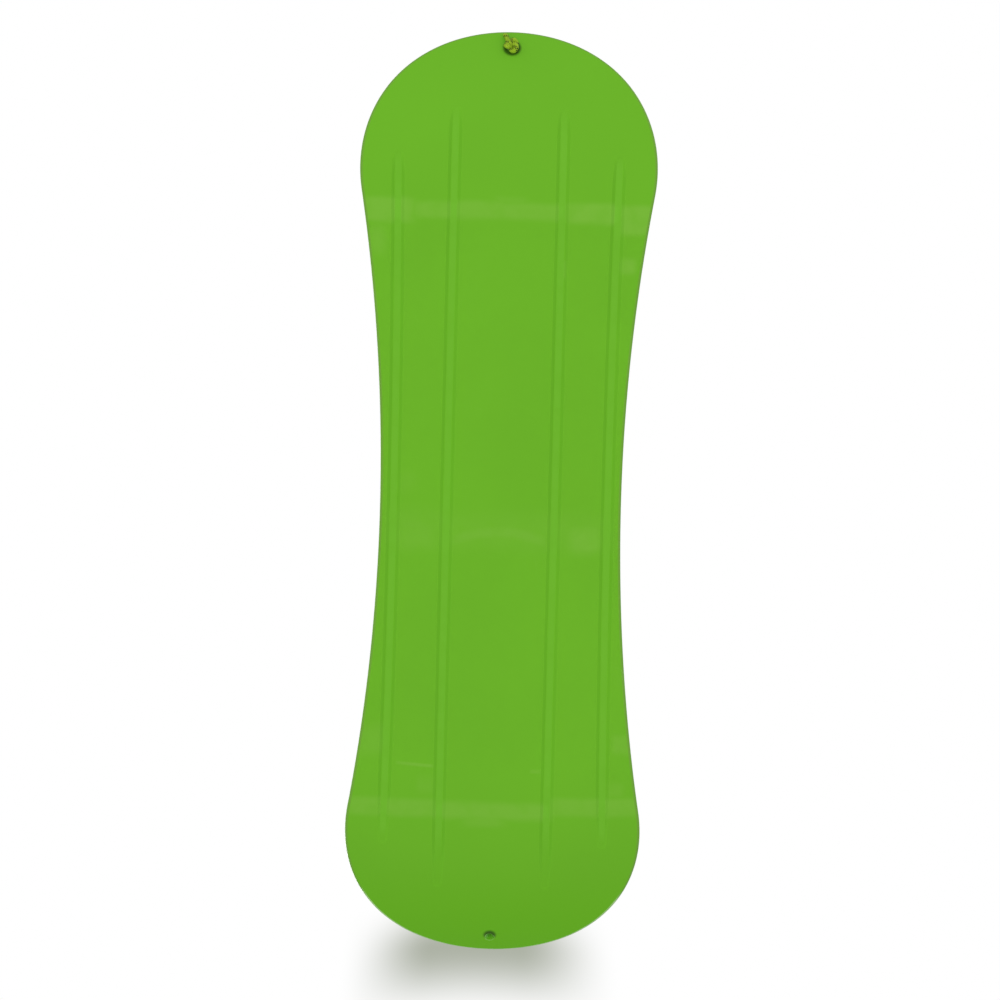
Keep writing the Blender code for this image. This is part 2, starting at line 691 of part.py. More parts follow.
def make_binding(label, position, side, dresses):
    """A whole binding. The side is 1 for the front one, and -1 for the rear one, which is mirrored."""
    mirror = Matrix.Diagonal((side, 1, 1, 1))
    base = empty(f"{label}_binding", (position, 0, BOARD_THICKNESS))
    make_inserts_and_screws(label, base, dresses["brass"], dresses["steel"])
    make_disc(f"{label}_mounting_disc", base, mirror, dresses["grey_plastic"])
    make_baseplate(f"{label}_baseplate", base, mirror, dresses["black_plastic"])
    make_footbed(f"{label}_footbed", base, mirror, dresses["foam"])
    make_heel_hoop(f"{label}_heel_hoop", base, mirror, dresses["black_plastic"])
    make_fasteners(label, base, mirror, dresses["steel"])
    for kind, place in (("ankle", ANKLE), ("toe", TOE)):
        hinge_point = (-side * ARCH_HALF, place.centre.y, place.centre.z)
        hinge = empty(f"{label}_{kind}_hinge", hinge_point, (math.radians(place.lean), 0, 0), base)
        make_strap(f"{label}_{kind}_strap", place, hinge, mirror, dresses["webbing"])
        make_tab(f"{label}_{kind}_tab", place, base, mirror, dresses["webbing"])
        if kind == "ankle":
            make_pad(f"{label}_{kind}_pad", place, hinge, mirror, dresses["padding"])


def spline_point(points, i, share):
    """A point of the smooth curve that passes through the route's points."""
    a, b, c, d = (points[min(max(j, 0), len(points) - 1)] for j in (i - 1, i, i + 1, i + 2))
    return 0.5 * (
        2 * b + (c - a) * share + (2 * a - 5 * b + 4 * c - d) * share**2 + (3 * b - a - 3 * c + d) * share**3
    )


def even_route(points, spacing):
    """Points at an even spacing along the smooth curve through the given ones."""
    fine = [spline_point(points, i, j / 24) for i in range(len(points) - 1) for j in range(24)] + [points[-1]]
    lengths = [0.0]
    for a, b in zip(fine, fine[1:]):
        lengths.append(lengths[-1] + (b - a).length)
    count = max(2, round(lengths[-1] / spacing))
    route = []
    place = 0
    for i in range(count + 1):
        wanted = lengths[-1] * i / count
        while place < len(fine) - 2 and lengths[place + 1] < wanted:
            place += 1
        span = lengths[place + 1] - lengths[place]
        route.append(fine[place].lerp(fine[place + 1], (wanted - lengths[place]) / span))
    return route


def rope_node(name, points, dress, resolution):
    curve = bpy.data.curves.new(name, "CURVE")
    curve.dimensions = "3D"
    curve.bevel_depth = ROPE_RADIUS
    curve.bevel_resolution = resolution
    curve.use_fill_caps = True
    line = curve.splines.new("POLY")
    line.points.add(len(points) - 1)
    for place, point in zip(line.points, points):
        place.co = (*point, 1)
    curve.materials.append(dress)
    made = bpy.data.objects.new(name, curve)
    bpy.context.scene.collection.objects.link(made)
    length = sum((b - a).length for a, b in zip(points, points[1:]))
    print(f"{name}: {length * 1000:.0f} mm of rope")
    return made


def coil_points():
    """The coil: in along the bottom layer, up a layer in the half turn where it reverses, and out on top."""
    first_height = BOARD_THICKNESS + TOUCH + BAND + TOUCH + ROPE_RADIUS
    outer = COIL_RADIUS + COIL_TURNS * COIL_PITCH / 2
    last = 2 * COIL_TURNS + 0.5
    count = round(last * COIL_POINTS)
    centre = Vector((COIL_CENTRE, 0, 0))
    points = [centre + Vector((2 * ROPE_RADIUS, outer, first_height))]
    for i in range(count + 1):
        turns = i / COIL_POINTS
        radius = outer - COIL_PITCH * (turns if turns < COIL_TURNS else 2 * COIL_TURNS - turns)
        height = first_height + COIL_LAYER * smooth_step(turns, COIL_TURNS - 0.25, COIL_TURNS + 0.25)
        angle = math.pi / 2 + math.tau * turns
        points.append(centre + Vector((radius * math.cos(angle), radius * math.sin(angle), height)))
    points.append(points[-1] + Vector((2 * ROPE_RADIUS, 0, 0)))
    return points


def least_gap(points, spacing):
    """The least distance between stretches of the rope that aren't next to each other, less its diameter."""
    apart = math.ceil(4 * ROPE_RADIUS / spacing) + 1
    nearest = min(
        (points[i] - points[j]).length for i in range(len(points)) for j in range(i + apart, len(points))
    )
    return nearest - 2 * ROPE_RADIUS


def lead_route(coil_start):
    """The rope from the nose hole, over a low hump and down the deck to the coil."""
    route = [
        bent((HOLE_PLACE, 0, LEAD_START)),
        bent((HOLE_PLACE, 0, BOARD_THICKNESS / 2)),
        bent((HOLE_PLACE, 0, BOARD_THICKNESS)),
        bent((HOLE_PLACE - 2 * MM, 0, BOARD_THICKNESS + 7 * MM)),
        bent((HOLE_PLACE - 10 * MM, 1 * MM, BOARD_THICKNESS + 12 * MM)),
        bent((HOLE_PLACE - 22 * MM, 4 * MM, BOARD_THICKNESS + 8 * MM)),
        bent((HOLE_PLACE - 34 * MM, 7 * MM, ROPE_ON_DECK + 1.4 * MM)),
        bent((HOLE_PLACE - 47 * MM, 9 * MM, ROPE_ON_DECK + 0.1 * MM)),
        bent((HOLE_PLACE - 64 * MM, 8 * MM, ROPE_ON_DECK)),
        bent((HOLE_PLACE - 88 * MM, 2 * MM, ROPE_ON_DECK)),
        bent((HOLE_PLACE - 114 * MM, -4 * MM, ROPE_ON_DECK)),
        bent((HOLE_PLACE - 140 * MM, 2 * MM, ROPE_ON_DECK)),
        bent((HOLE_PLACE - 164 * MM, 16 * MM, ROPE_ON_DECK)),
        bent((HOLE_PLACE - 188 * MM, 28 * MM, ROPE_ON_DECK)),
    ]
    route.append(coil_start + Vector((18 * MM, -0.8 * MM, -0.4 * MM)))
    route.append(coil_start + Vector((5 * MM, 0, 0)))
    return route + [coil_start + Vector((TOUCH, 0, 0))]


def end_route(coil_end):
    """The last stretch of the rope, from the top of the coil to the knot that stands on the deck."""
    drop = coil_end.z - (BOARD_THICKNESS + TOUCH + KNOT_HALF)
    steps = ((TOUCH, 0, 0), (5 * MM, 0, 0.05), (14 * MM, 0.8 * MM, 0.9), (24 * MM, 1 * MM, 1))
    return [coil_end + Vector((along, -side, -share * drop)) for along, side, share in steps]


def knot(name, frame, dress):
    """An overhand knot, drawn tight. Its rope arrives along Z of the frame, and its tail leaves along X."""
    points = []
    for i in range(25):
        turn = math.tau * (0.06 + 0.88 * i / 24)
        points.append(Vector((
            KNOT_SCALE * (math.cos(turn) - 2 * math.cos(2 * turn)),
            KNOT_SCALE * (math.sin(turn) + 2 * math.sin(2 * turn)),
            KNOT_SWELL * math.sin(3 * turn),
        )))
    drop = Vector((0, 0, -KNOT_SWELL - ROPE_RADIUS - TOUCH))
    body = [point + drop for point in points]
    stub = [Vector((0, 0, LEAD_START - KNOT_VOXEL)), Vector((-0.5 * MM, 0, -2 * MM))]
    tail_height = -ROPE_RADIUS - 2 * TOUCH
    tail = [Vector((0.62 * TAIL_REACH, 0, tail_height - 0.5 * MM)), Vector((TAIL_REACH, 0, tail_height))]
    route = even_route(stub + body[1:-1] + tail, ROPE_RADIUS)
    tube = rope_node(name, route, dress, 2)
    melted = tube.modifiers.new("tighten", "REMESH")
    melted.mode = "VOXEL"
    melted.voxel_size = KNOT_VOXEL
    thinned = tube.modifiers.new("thin", "DECIMATE")
    thinned.ratio = KNOT_KEEP
    tube.matrix_world = frame
    return tube


def make_rope(dress, band_dress):
    coil = coil_points()
    rope_node("rope_coil", coil, dress, 1)
    print(f"rope_coil: least gap to itself {least_gap(coil, (coil[2] - coil[1]).length) * 1000:.2f} mm")
    rope_node("rope_lead", even_route(lead_route(coil[0]), LEAD_SPACING), dress, 2)
    ending = end_route(coil[-1])
    rope_node("rope_end", even_route(ending, LEAD_SPACING / 2), dress, 2)
    angle = (HOLE_PLACE - KICK_START) / KICK_RADIUS
    under = Matrix.Translation(bent((HOLE_PLACE, 0, 0))) @ Matrix.Rotation(-angle, 4, "Y")
    knot("rope_knot", under, dress)
    lie = Matrix(((0, 0, -1, 0), (1, 0, 0, 0), (0, -1, 0, 0), (0, 0, 0, 1)))
    knot("rope_end_knot", Matrix.Translation(ending[-1] + Vector((LEAD_START, 0, 0))) @ lie, dress)
    make_band(band_dress)


def make_band(dress):
    """The strip that ties the coil, round its turns on the nose side."""
    outer = COIL_RADIUS + COIL_TURNS * COIL_PITCH / 2
    low_side = outer - (COIL_TURNS - 0.25) * COIL_PITCH - ROPE_RADIUS - BAND_ROOM
    high_side = outer - 0.25 * COIL_PITCH + ROPE_RADIUS + BAND_ROOM
    low = BOARD_THICKNESS + TOUCH + BAND
    high = low + 2 * TOUCH + 2 * ROPE_RADIUS + COIL_LAYER
    window = [(low_side, low), (high_side, low), (high_side, high), (low_side, high)]
    corner = ROPE_RADIUS / 2
    outside = [(low_side - BAND, low - BAND), (high_side + BAND, low - BAND),
               (high_side + BAND, high + BAND), (low_side - BAND, high + BAND)]
    strip, hollow = (
        loft([[Vector((x, y, z)) for x, z in outline] for y in (-half, half)])
        for outline, half in (
            (rounded(outside, corner + BAND), BAND_WIDTH / 2),
            (rounded(window, corner), BAND_WIDTH),
        )
    )
    band = combined(strip, hollow, "DIFFERENCE")
    node("rope_band", moved(band, Matrix.Translation((COIL_CENTRE, 0, 0))), dress)


def main():
    clear_scene()
    green = material("green_plastic", (0.147, 0.434, 0.024), 0.38)
    dresses = {
        "black_plastic": material("black_plastic", (0.02, 0.021, 0.023), 0.45),
        "grey_plastic": material("grey_plastic", (0.09, 0.095, 0.1), 0.45),
        "foam": material("foam", (0.035, 0.036, 0.04), 0.9),
        "webbing": material("webbing", (0.018, 0.019, 0.022), 0.85),
        "padding": material("padding", (0.05, 0.053, 0.058), 0.9),
        "steel": material("steel", (0.55, 0.56, 0.58), 0.32, 1.0),
        "brass": material("brass", (0.6, 0.42, 0.16), 0.35, 1.0),
    }
    make_board(green)
    make_binding("front", FRONT_BINDING, 1, dresses)
    make_binding("rear", REAR_BINDING, -1, dresses)
    make_rope(material("rope", (0.42, 0.52, 0.03), 0.8), dresses["webbing"])


main()
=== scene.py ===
"""The looks of a child's moulded plastic snowboard with two strap bindings and a tow rope.

Metres. X runs along the board to the nose, Y across it to the heel edge, and Z up from the running base.
A binding is drawn in its own frame, with its middle on the deck, X away from the middle of the board and
Y towards the heel. The rear binding is the front one mirrored.
"""

import logging
import math
from collections.abc import Callable, Iterable
from dataclasses import dataclass, field
from enum import Enum
from functools import reduce

import bmesh
import bpy
from mathutils import Matrix, Vector


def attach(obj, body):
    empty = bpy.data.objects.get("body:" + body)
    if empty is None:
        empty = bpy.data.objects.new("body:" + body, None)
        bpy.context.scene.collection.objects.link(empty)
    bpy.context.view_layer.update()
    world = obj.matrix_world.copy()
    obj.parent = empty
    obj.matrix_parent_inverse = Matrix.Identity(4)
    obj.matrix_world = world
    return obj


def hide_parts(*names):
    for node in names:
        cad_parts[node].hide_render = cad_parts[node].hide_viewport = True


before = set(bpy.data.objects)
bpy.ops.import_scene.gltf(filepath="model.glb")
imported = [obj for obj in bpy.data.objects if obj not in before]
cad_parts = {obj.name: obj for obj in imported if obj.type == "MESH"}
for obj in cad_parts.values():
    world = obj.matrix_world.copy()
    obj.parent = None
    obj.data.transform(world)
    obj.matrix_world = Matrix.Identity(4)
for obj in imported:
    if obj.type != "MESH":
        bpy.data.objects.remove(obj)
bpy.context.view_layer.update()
MM = 0.001
TOUCH = 0.3 * MM  # between faces that touch
log = logging.getLogger("snowboard")

Socket = bpy.types.NodeSocket
Tree = bpy.types.NodeTree
Material = bpy.types.Material
Piece = bpy.types.Object
Mesh = bmesh.types.BMesh
Feeds = dict[str | int, object]
Pair = tuple[float, float]
Triple = tuple[float, float, float]
Colour = tuple[int, int, int]  # sRGB, in steps of 255
Shine = tuple[float, ...]  # linear, with alpha


# Shader building.


class Shade:
    """Adds shader nodes to one tree and joins them."""

    def __init__(self, tree: Tree) -> None:
        """Starts on the tree of a material, a world or a group, which it empties."""
        self.tree = tree
        tree.nodes.clear()

    def put(self, kind: str, feeds: Feeds | None = None, **settings: object) -> bpy.types.Node:
        """Adds a node.

        Args:
            kind: The node's type, without the word ShaderNode.
            feeds: What feeds each input: a value or an output.
            settings: The node's own settings.

        Returns:
            The node.
        """
        made = self.tree.nodes.new(kind if kind.startswith("NodeGroup") else f"ShaderNode{kind}")
        for name, value in settings.items():
            setattr(made, name, value)
        for socket, source in (feeds or {}).items():
            if isinstance(source, Socket):
                self.tree.links.new(source, made.inputs[socket])
            else:
                made.inputs[socket].default_value = source
        return made

    def group(self, tree: Tree, feeds: Feeds) -> bpy.types.NodeOutputs:
        """Returns the outputs of a shared group with its inputs fed."""
        return self.put("Group", feeds, node_tree=tree).outputs

    def end(self, shader: bpy.types.Node, kind: str = "OutputMaterial") -> None:
        """Ends the tree in the shader."""
        self.put(kind, {"Surface": shader.outputs[0]})

    def place(self) -> Socket:
        """Returns the place on the object."""
        return self.put("TexCoord").outputs["Object"]

    def cloth(self) -> Socket:
        """Returns the place on the UV map."""
        return self.put("UVMap", uv_map="UVMap").outputs[0]

    def math(self, operation: str, a: object, b: object = 0.0) -> Socket:
        """Returns the output of a Math node that works on a and b."""
        return self.put("Math", {0: a, 1: b}, operation=operation).outputs[0]

    def plus(self, *terms: object) -> Socket:
        """Returns the sum of the values."""
        return reduce(lambda a, b: self.math("ADD", a, b), terms)

    def minus(self, value: object, less: object) -> Socket:
        """Returns the difference of two values."""
        return self.math("SUBTRACT", value, less)

    def times(self, *factors: object) -> Socket:
        """Returns the product of the values."""
        return reduce(lambda a, b: self.math("MULTIPLY", a, b), factors)

    def step(
        self, value: object, low: object, high: object, to_low: float = 0.0, to_high: float = 1.0
    ) -> Socket:
        """Returns a smooth step of the value from low to high, as a number from to_low to to_high."""
        feeds = {"Value": value, "From Min": low, "From Max": high, "To Min": to_low, "To Max": to_high}
        return self.put("MapRange", feeds, interpolation_type="SMOOTHSTEP").outputs[0]

    def near(self, value: object, centre: float, half: float, soft: float) -> Socket:
        """Returns 1 within half of the centre and 0 outside it, with a soft edge."""
        away = self.math("ABSOLUTE", self.minus(value, centre))
        return self.step(away, half - soft, half + soft, 1.0, 0.0)

    def mix(self, share: object, a: object, b: object) -> Socket:
        """Returns colour a mixed with colour b by the share."""
        return self.put("Mix", {0: share, 6: a, 7: b}, data_type="RGBA").outputs[2]

    def noise(self, vector: object, scale: object, detail: float = 2.0) -> Socket:
        """Returns the height of a noise pattern at the vector."""
        return self.put("TexNoise", {"Vector": vector, "Scale": scale, "Detail": detail}).outputs[0]

    def bump(self, height: object, distance: float) -> Socket:
        """Returns the normal of a height in metres, times the distance."""
        return self.put("Bump", {"Strength": 1.0, "Distance": distance, "Height": height}).outputs[0]

    def crossing(self, waves: list[Socket], soft: float) -> tuple[Socket, Socket]:
        """Lays two yarns over and under each other.

        Args:
            waves: The waves that the two yarns make.
            soft: How softly one gives way to the other.

        Returns:
            Which of the two lies on top, and the height of both together.
        """
        over = self.step(self.times(*waves), -soft, soft)
        one, other = (self.math("ABSOLUTE", wave) for wave in waves)
        return over, self.put("Mix", {0: over, 2: one, 3: other}, data_type="FLOAT").outputs[0]


def linear(colour: Colour) -> Shine:
    """Returns the linear colour of an sRGB colour."""
    shares = (value / 255 for value in colour)
    return (*(s / 12.92 if s <= 0.04045 else ((s + 0.055) / 1.055) ** 2.4 for s in shares), 1.0)


def toned(colour: Shine, times: float, plus: float = 0.0) -> Shine:
    """Returns a linear colour made paler or darker."""
    return (*(min(1.0, times * value + plus) for value in colour[:3]), 1.0)


def begin_group(name: str, *numbers: str) -> tuple[Shade, bpy.types.NodeOutputs]:
    """Starts a shader group that takes a vector and the named numbers.

    Args:
        name: The group's name.
        numbers: The names of its number inputs.

    Returns:
        The tree to build in, and what the group is given.
    """
    tree = bpy.data.node_groups.new(name, "ShaderNodeTree")
    for label in ("Vector", *numbers):
        kind = "Float" if label in numbers else "Vector"
        tree.interface.new_socket(label, in_out="INPUT", socket_type=f"NodeSocket{kind}")
    shade = Shade(tree)
    return shade, shade.put("NodeGroupInput").outputs


def end_group(shade: Shade, results: dict[str, Socket]) -> Tree:
    """Ends a shader group.

    Args:
        shade: The tree that it was built in.
        results: What feeds each of its named number outputs.

    Returns:
        The group.
    """
    for label in results:
        shade.tree.interface.new_socket(label, in_out="OUTPUT", socket_type="NodeSocketFloat")
    shade.put("NodeGroupOutput", results)
    return shade.tree


def grain_group() -> Tree:
    """Makes the shader group for moulded plastic: its fine grain, and slow drifts of tone and gloss.

    Returns:
        The group.
    """
    shade, given = begin_group("moulded_grain", "Grain", "Drift")
    fine = shade.noise(given["Vector"], given["Grain"], 3.0)
    slow = shade.noise(given["Vector"], given["Drift"])
    gloss = shade.plus(shade.times(fine, 0.5), shade.times(slow, 0.5))
    return end_group(shade, {"Height": fine, "Tone": shade.step(slow, 0.3, 0.7), "Gloss": gloss})


def scuff_group() -> Tree:
    """Makes the shader group for handling wear: a mask of thin, broken scratches in two directions.

    Returns:
        The group.
    """
    shade, given = begin_group("handling_scuffs", "Scale", "Share")
    masks = []
    for turn, squeeze in ((0.2, 0.06), (1.35, 0.09)):
        turned = shade.put("Mapping", {"Vector": given["Vector"], "Rotation": (0.0, 0.0, turn)}).outputs[0]
        long = shade.put("Mapping", {"Vector": turned, "Scale": (squeeze, 1.0, 1.0)}).outputs[0]
        masks.append(shade.near(shade.noise(long, given["Scale"], 1.0), 0.5, 0.006, 0.005))
    where = shade.step(shade.noise(given["Vector"], 14.0, 3.0), 0.56, 0.72)
    return end_group(shade, {"Mask": shade.times(shade.math("MAXIMUM", *masks), where, given["Share"])})


def weave_group() -> Tree:
    """Makes the shader group for woven cloth: yarns that pass over and under on a UV map in metres.

    Returns:
        The group.
    """
    shade, given = begin_group("woven_yarns", "Yarn")
    parts = shade.put("SeparateXYZ", {"Vector": given["Vector"]}).outputs
    waves = []
    for axis in (0, 1):
        share = shade.math("DIVIDE", parts[axis], given["Yarn"])
        waves.append(shade.math("SINE", shade.times(share, math.pi)))
    return end_group(shade, {"Height": shade.crossing(waves, 0.25)[1]})


def sheen_and_scratch_group() -> Tree:
    """Makes the shader group for wavy pale bands across the board that fade out: painted sheen and scratches.

    Returns:
        The group.
    """
    shade, give = begin_group(
        "painted_sheen_and_scratch_band", "Centre", "Half", "Soft", "Start", "Stop", "Fade", "Arch", "Lean", "Wave", "Strength"
    )
    parts = shade.put("SeparateXYZ", {"Vector": give["Vector"]})
    along, across = parts.outputs[0], parts.outputs[1]
    wobble = shade.times(shade.minus(shade.noise(give["Vector"], 16.0, 3.0), 0.5), give["Wave"])
    bow = shade.times(across, across, give["Arch"])
    line = shade.plus(shade.plus(along, wobble), shade.plus(bow, shade.times(across, give["Lean"])))
    away = shade.math("ABSOLUTE", shade.minus(line, give["Centre"]))
    sizes = give["Half"], give["Soft"]
    inner, outer = shade.minus(*sizes), shade.plus(*sizes)
    mask = shade.step(away, inner, outer, 1.0, 0.0)
    for end, sign in (("Start", 1.0), ("Stop", -1.0)):
        past = shade.times(shade.minus(across, give[end]), sign)
        mask = shade.times(mask, shade.step(past, shade.times(give["Fade"], -1.0), give["Fade"]))
    cloudy = shade.step(shade.noise(give["Vector"], 60.0), 0.3, 0.6, 0.65, 1.0)
    return end_group(shade, {"Mask": shade.times(mask, cloudy, give["Strength"])})


GRAIN = grain_group()
SCUFFS = scuff_group()
WEAVE = weave_group()
SHEEN_AND_SCRATCH = sheen_and_scratch_group()


def new_material(name: str) -> tuple[Material, Shade]:
    """Makes a material.

    Args:
        name: Its name.

    Returns:
        The material and its empty tree.
    """
    material = bpy.data.materials.new(name)
    material.use_nodes = True
    return material, Shade(material.node_tree)


# Finishes.


@dataclass(frozen=True)
class Finish:
    """What a surface is made of, with one main colour."""

    name: str
    colour: Colour

    def looks(self, shade: Shade) -> Feeds:
        """Works out the shader's inputs.

        Args:
            shade: The material's tree.

        Returns:
            What feeds them.
        """
        raise NotImplementedError

    def material(self) -> Material:
        """Makes the finish's material.

        Returns:
            The material.
        """
        material, shade = new_material(self.name)
        shade.end(shade.put("BsdfPrincipled", self.looks(shade)))
        return material


@dataclass(frozen=True)
class MouldedPlastic(Finish):
    """A plain moulded plastic with a fine grain and light wear."""

    roughness: float
    grain: float = 1800.0  # features per metre
    drift: float = 16.0
    relief: float = 0.03 * MM
    scuffs: float = 0.5

    def looks(self, shade: Shade) -> Feeds:
        """Works out the shader's inputs.

        Args:
            shade: The material's tree.

        Returns:
            What feeds them.
        """
        place = shade.place()
        grain = shade.group(GRAIN, {"Vector": place, "Grain": self.grain, "Drift": self.drift})
        scuffs = shade.group(SCUFFS, {"Vector": place, "Scale": 320.0, "Share": self.scuffs})["Mask"]
        body = linear(self.colour)
        tone = shade.mix(grain["Tone"], toned(body, 0.86), body)
        rough = shade.step(grain["Gloss"], 0.3, 0.7, self.roughness - 0.05, self.roughness + 0.07)
        return {
            "Base Color": shade.mix(shade.times(scuffs, 0.5), tone, toned(body, 1.5, 0.012)),
            "Roughness": shade.plus(rough, shade.times(scuffs, 0.15)),
            "Normal": shade.bump(grain["Height"], self.relief),
        }


@dataclass(frozen=True)
class SheenAndScratchBand:
    """One pale band on the board, in millimetres: painted sheen, and for the thinnest a scratch."""

    centre: float  # along the board
    half: float
    soft: float
    start: float  # across the board
    stop: float
    strength: float
    fade: float = 6.0
    arch: float = 0.0  # per millimetre, times 1000
    lean: float = 0.0
    wave: float = 8.0

    def mask(self, shade: Shade, place: Socket) -> Socket:
        """Draws the mark.

        Args:
            shade: The material's tree.
            place: The place on the board.

        Returns:
            Its strength there.
        """
        names = ("centre", "half", "soft", "start", "stop", "fade", "wave")
        sizes = {name.capitalize(): getattr(self, name) * MM for name in names}
        shares = {"Arch": self.arch, "Lean": self.lean, "Strength": self.strength}
        return shade.group(SHEEN_AND_SCRATCH, {"Vector": place, **sizes, **shares})["Mask"]


@dataclass(frozen=True)
class RunningBase(Finish):
    """The board's lime green HDPE base, smooth: pale bands of painted sheen and scratches, painted shade."""

    name: str = "green_base"
    colour: Colour = (105, 177, 35)
    # the pale colour of the bands of painted sheen and scratches, and of the scuffs
    pale: Colour = (116, 180, 52)
    roughness: float = 0.46
    specular: float = 0.12
    relief: float = 0.012 * MM
    painted_light_and_shade: float = 1.0  # of its colours: above 1 painted light, below 1 painted shade
    # painted shade: the colour that the tail turns to, a little less blue, towards its tip
    tail: Colour = (102, 178, 25)
    tail_reach: Pair = (-440 * MM, -350 * MM)  # along the board, where the tail's painted shade is full and none
    # painted shade round the rope holes: its colour and strength
    hole_shade_colour: Colour = (22, 46, 8)
    hole_shade_strength: float = 0.8
    hole_shades: tuple[tuple[Vector, float, float], ...] = ()  # place, full reach and end of each painted shade round a rope hole
    # pale bands: painted sheen that stands in for reflected light, and a few thin scratches
    marks: tuple[SheenAndScratchBand, ...] = (
        SheenAndScratchBand(286, 12, 4, -150, -92, 0.9),
        SheenAndScratchBand(287, 8, 4, -92, 58, 0.8),
        SheenAndScratchBand(297, 4, 3, -12, 18, 0.4),
        SheenAndScratchBand(286, 9.5, 4, 58, 110, 1.0),
        SheenAndScratchBand(281, 14, 4, 110, 150, 1.0),
        SheenAndScratchBand(256, 13, 8, -134, -119, 0.6),
        SheenAndScratchBand(236, 7, 4, 110, 126, 0.85, 4),
        SheenAndScratchBand(231, 8, 4, 52, 58, 0.8, 2),
        SheenAndScratchBand(-33, 15, 9, -104, -62, 0.45, 12),
        SheenAndScratchBand(-28, 18, 12, -112, 112, 0.28),
        SheenAndScratchBand(-29, 6, 5, -46, 46, 0.7, 10, arch=4.0, wave=3.0),
        SheenAndScratchBand(-35, 13, 8, 68, 98, 0.9, 9),
        SheenAndScratchBand(18, 10, 8, -100, -84, 0.25, 8),
        SheenAndScratchBand(-305, 9, 4, -150, -56, 0.85, wave=5.0),
        SheenAndScratchBand(-307, 8.5, 5, -60, 58, 0.9, wave=5.0),
        SheenAndScratchBand(-302, 9, 4, 54, 150, 0.8, lean=-0.01, wave=5.0),
        SheenAndScratchBand(-281, 8, 6, -75, -59, 0.35, 4),
        SheenAndScratchBand(-317, 7, 4, -28, 12, 0.6, 10),
        SheenAndScratchBand(-268, 1.5, 1, -96, -60, 0.9, 2, lean=0.08, wave=2.0),
        SheenAndScratchBand(-266, 1.8, 1, 36, 46, 0.8, 2, wave=2.0),
        SheenAndScratchBand(-283, 7, 4, 112, 128, 0.4, 4),
        SheenAndScratchBand(-238, 9, 4, 116, 138, 0.6, 4),
        SheenAndScratchBand(-238, 15, 8, -138, -108, 0.45, 6),
    )

    def looks(self, shade: Shade) -> Feeds:
        """Works out the shader's inputs.

        Args:
            shade: The material's tree.

        Returns:
            What feeds them.
        """
        place = shade.place()
        grain = shade.group(GRAIN, {"Vector": place, "Grain": 1400.0, "Drift": 7.0})
        scuffs = shade.group(SCUFFS, {"Vector": place, "Scale": 260.0, "Share": 0.6})["Mask"]
        body, pale = (toned(linear(colour), self.painted_light_and_shade) for colour in (self.colour, self.pale))
        tone = shade.mix(grain["Tone"], toned(body, 0.965), body)
        along = shade.put("SeparateXYZ", {"Vector": place}).outputs[0]
        # painted shade towards the tail
        tone = shade.mix(shade.step(along, *self.tail_reach, 1.0, 0.0), tone, linear(self.tail))
        # painted sheen and scratches
        sheen_and_scratch: Socket | float = 0.0
        for mark in self.marks:
            sheen_and_scratch = shade.math("MAXIMUM", sheen_and_scratch, mark.mask(shade, place))
        colour = shade.mix(sheen_and_scratch, tone, pale)
        colour = shade.mix(shade.times(scuffs, 0.35), colour, pale)
        # painted shade round the rope holes
        for spot, full, end in self.hole_shades:
            away = shade.put("VectorMath", {0: place, 1: tuple(spot)}, operation="DISTANCE").outputs["Value"]
            hole_shade_share = shade.step(away, full, end, self.hole_shade_strength, 0.0)
            colour = shade.mix(hole_shade_share, colour, linear(self.hole_shade_colour))
        return {
            "Base Color": colour,
            "Roughness": shade.step(grain["Gloss"], 0.3, 0.7, self.roughness - 0.04, self.roughness + 0.06),
            "Specular IOR Level": self.specular,
            "Normal": shade.bump(grain["Height"], self.relief),
        }


@dataclass(frozen=True)
class BraidedRope(Finish):
    """A yellow-green braided cord with a dark tracer yarn, on the UV map of a round cord."""

    colour: Colour = (162, 203, 38)
    length: float = field(kw_only=True)  # of the cord, so that its yarns keep their size
    tracer: Colour = (18, 32, 12)
    fluff: Colour = (204, 224, 84)
    pitch: float = 9 * MM  # along the cord for one turn of a yarn
    yarns: int = 8  # round the cord in each direction

    def looks(self, shade: Shade) -> Feeds:
        """Works out the shader's inputs.

        Args:
            shade: The material's tree.

        Returns:
            What feeds them.
        """
        parts = shade.put("SeparateXYZ", {"Vector": shade.cloth()}).outputs
        along = shade.times(parts[0], self.length / self.pitch)
        waves = []
        for way in (1.0, -1.0):
            turns = shade.plus(along, shade.times(parts[1], way))
            waves.append(shade.math("SINE", shade.times(turns, self.yarns * math.pi)))
        over, height = shade.crossing(waves, 0.2)
        winding = shade.math("FRACT", shade.plus(along, parts[1]))
        tracer = shade.times(shade.near(winding, 0.5, 0.15, 0.012), over)
        body = linear(self.colour)
        # painted shade: the yarns darken in the hollows where they dip under each other
        yarn = shade.mix(shade.step(height, 0.0, 0.75), toned(body, 0.42), body)
        fluff = shade.step(shade.noise(shade.place(), 900.0, 3.0), 0.4, 0.75, 0.0, 0.2)
        return {
            "Base Color": shade.mix(tracer, shade.mix(fluff, yarn, linear(self.fluff)), linear(self.tracer)),
            "Roughness": 0.78,
            "Specular IOR Level": 0.25,
            "Normal": shade.bump(height, 0.35 * MM),
        }


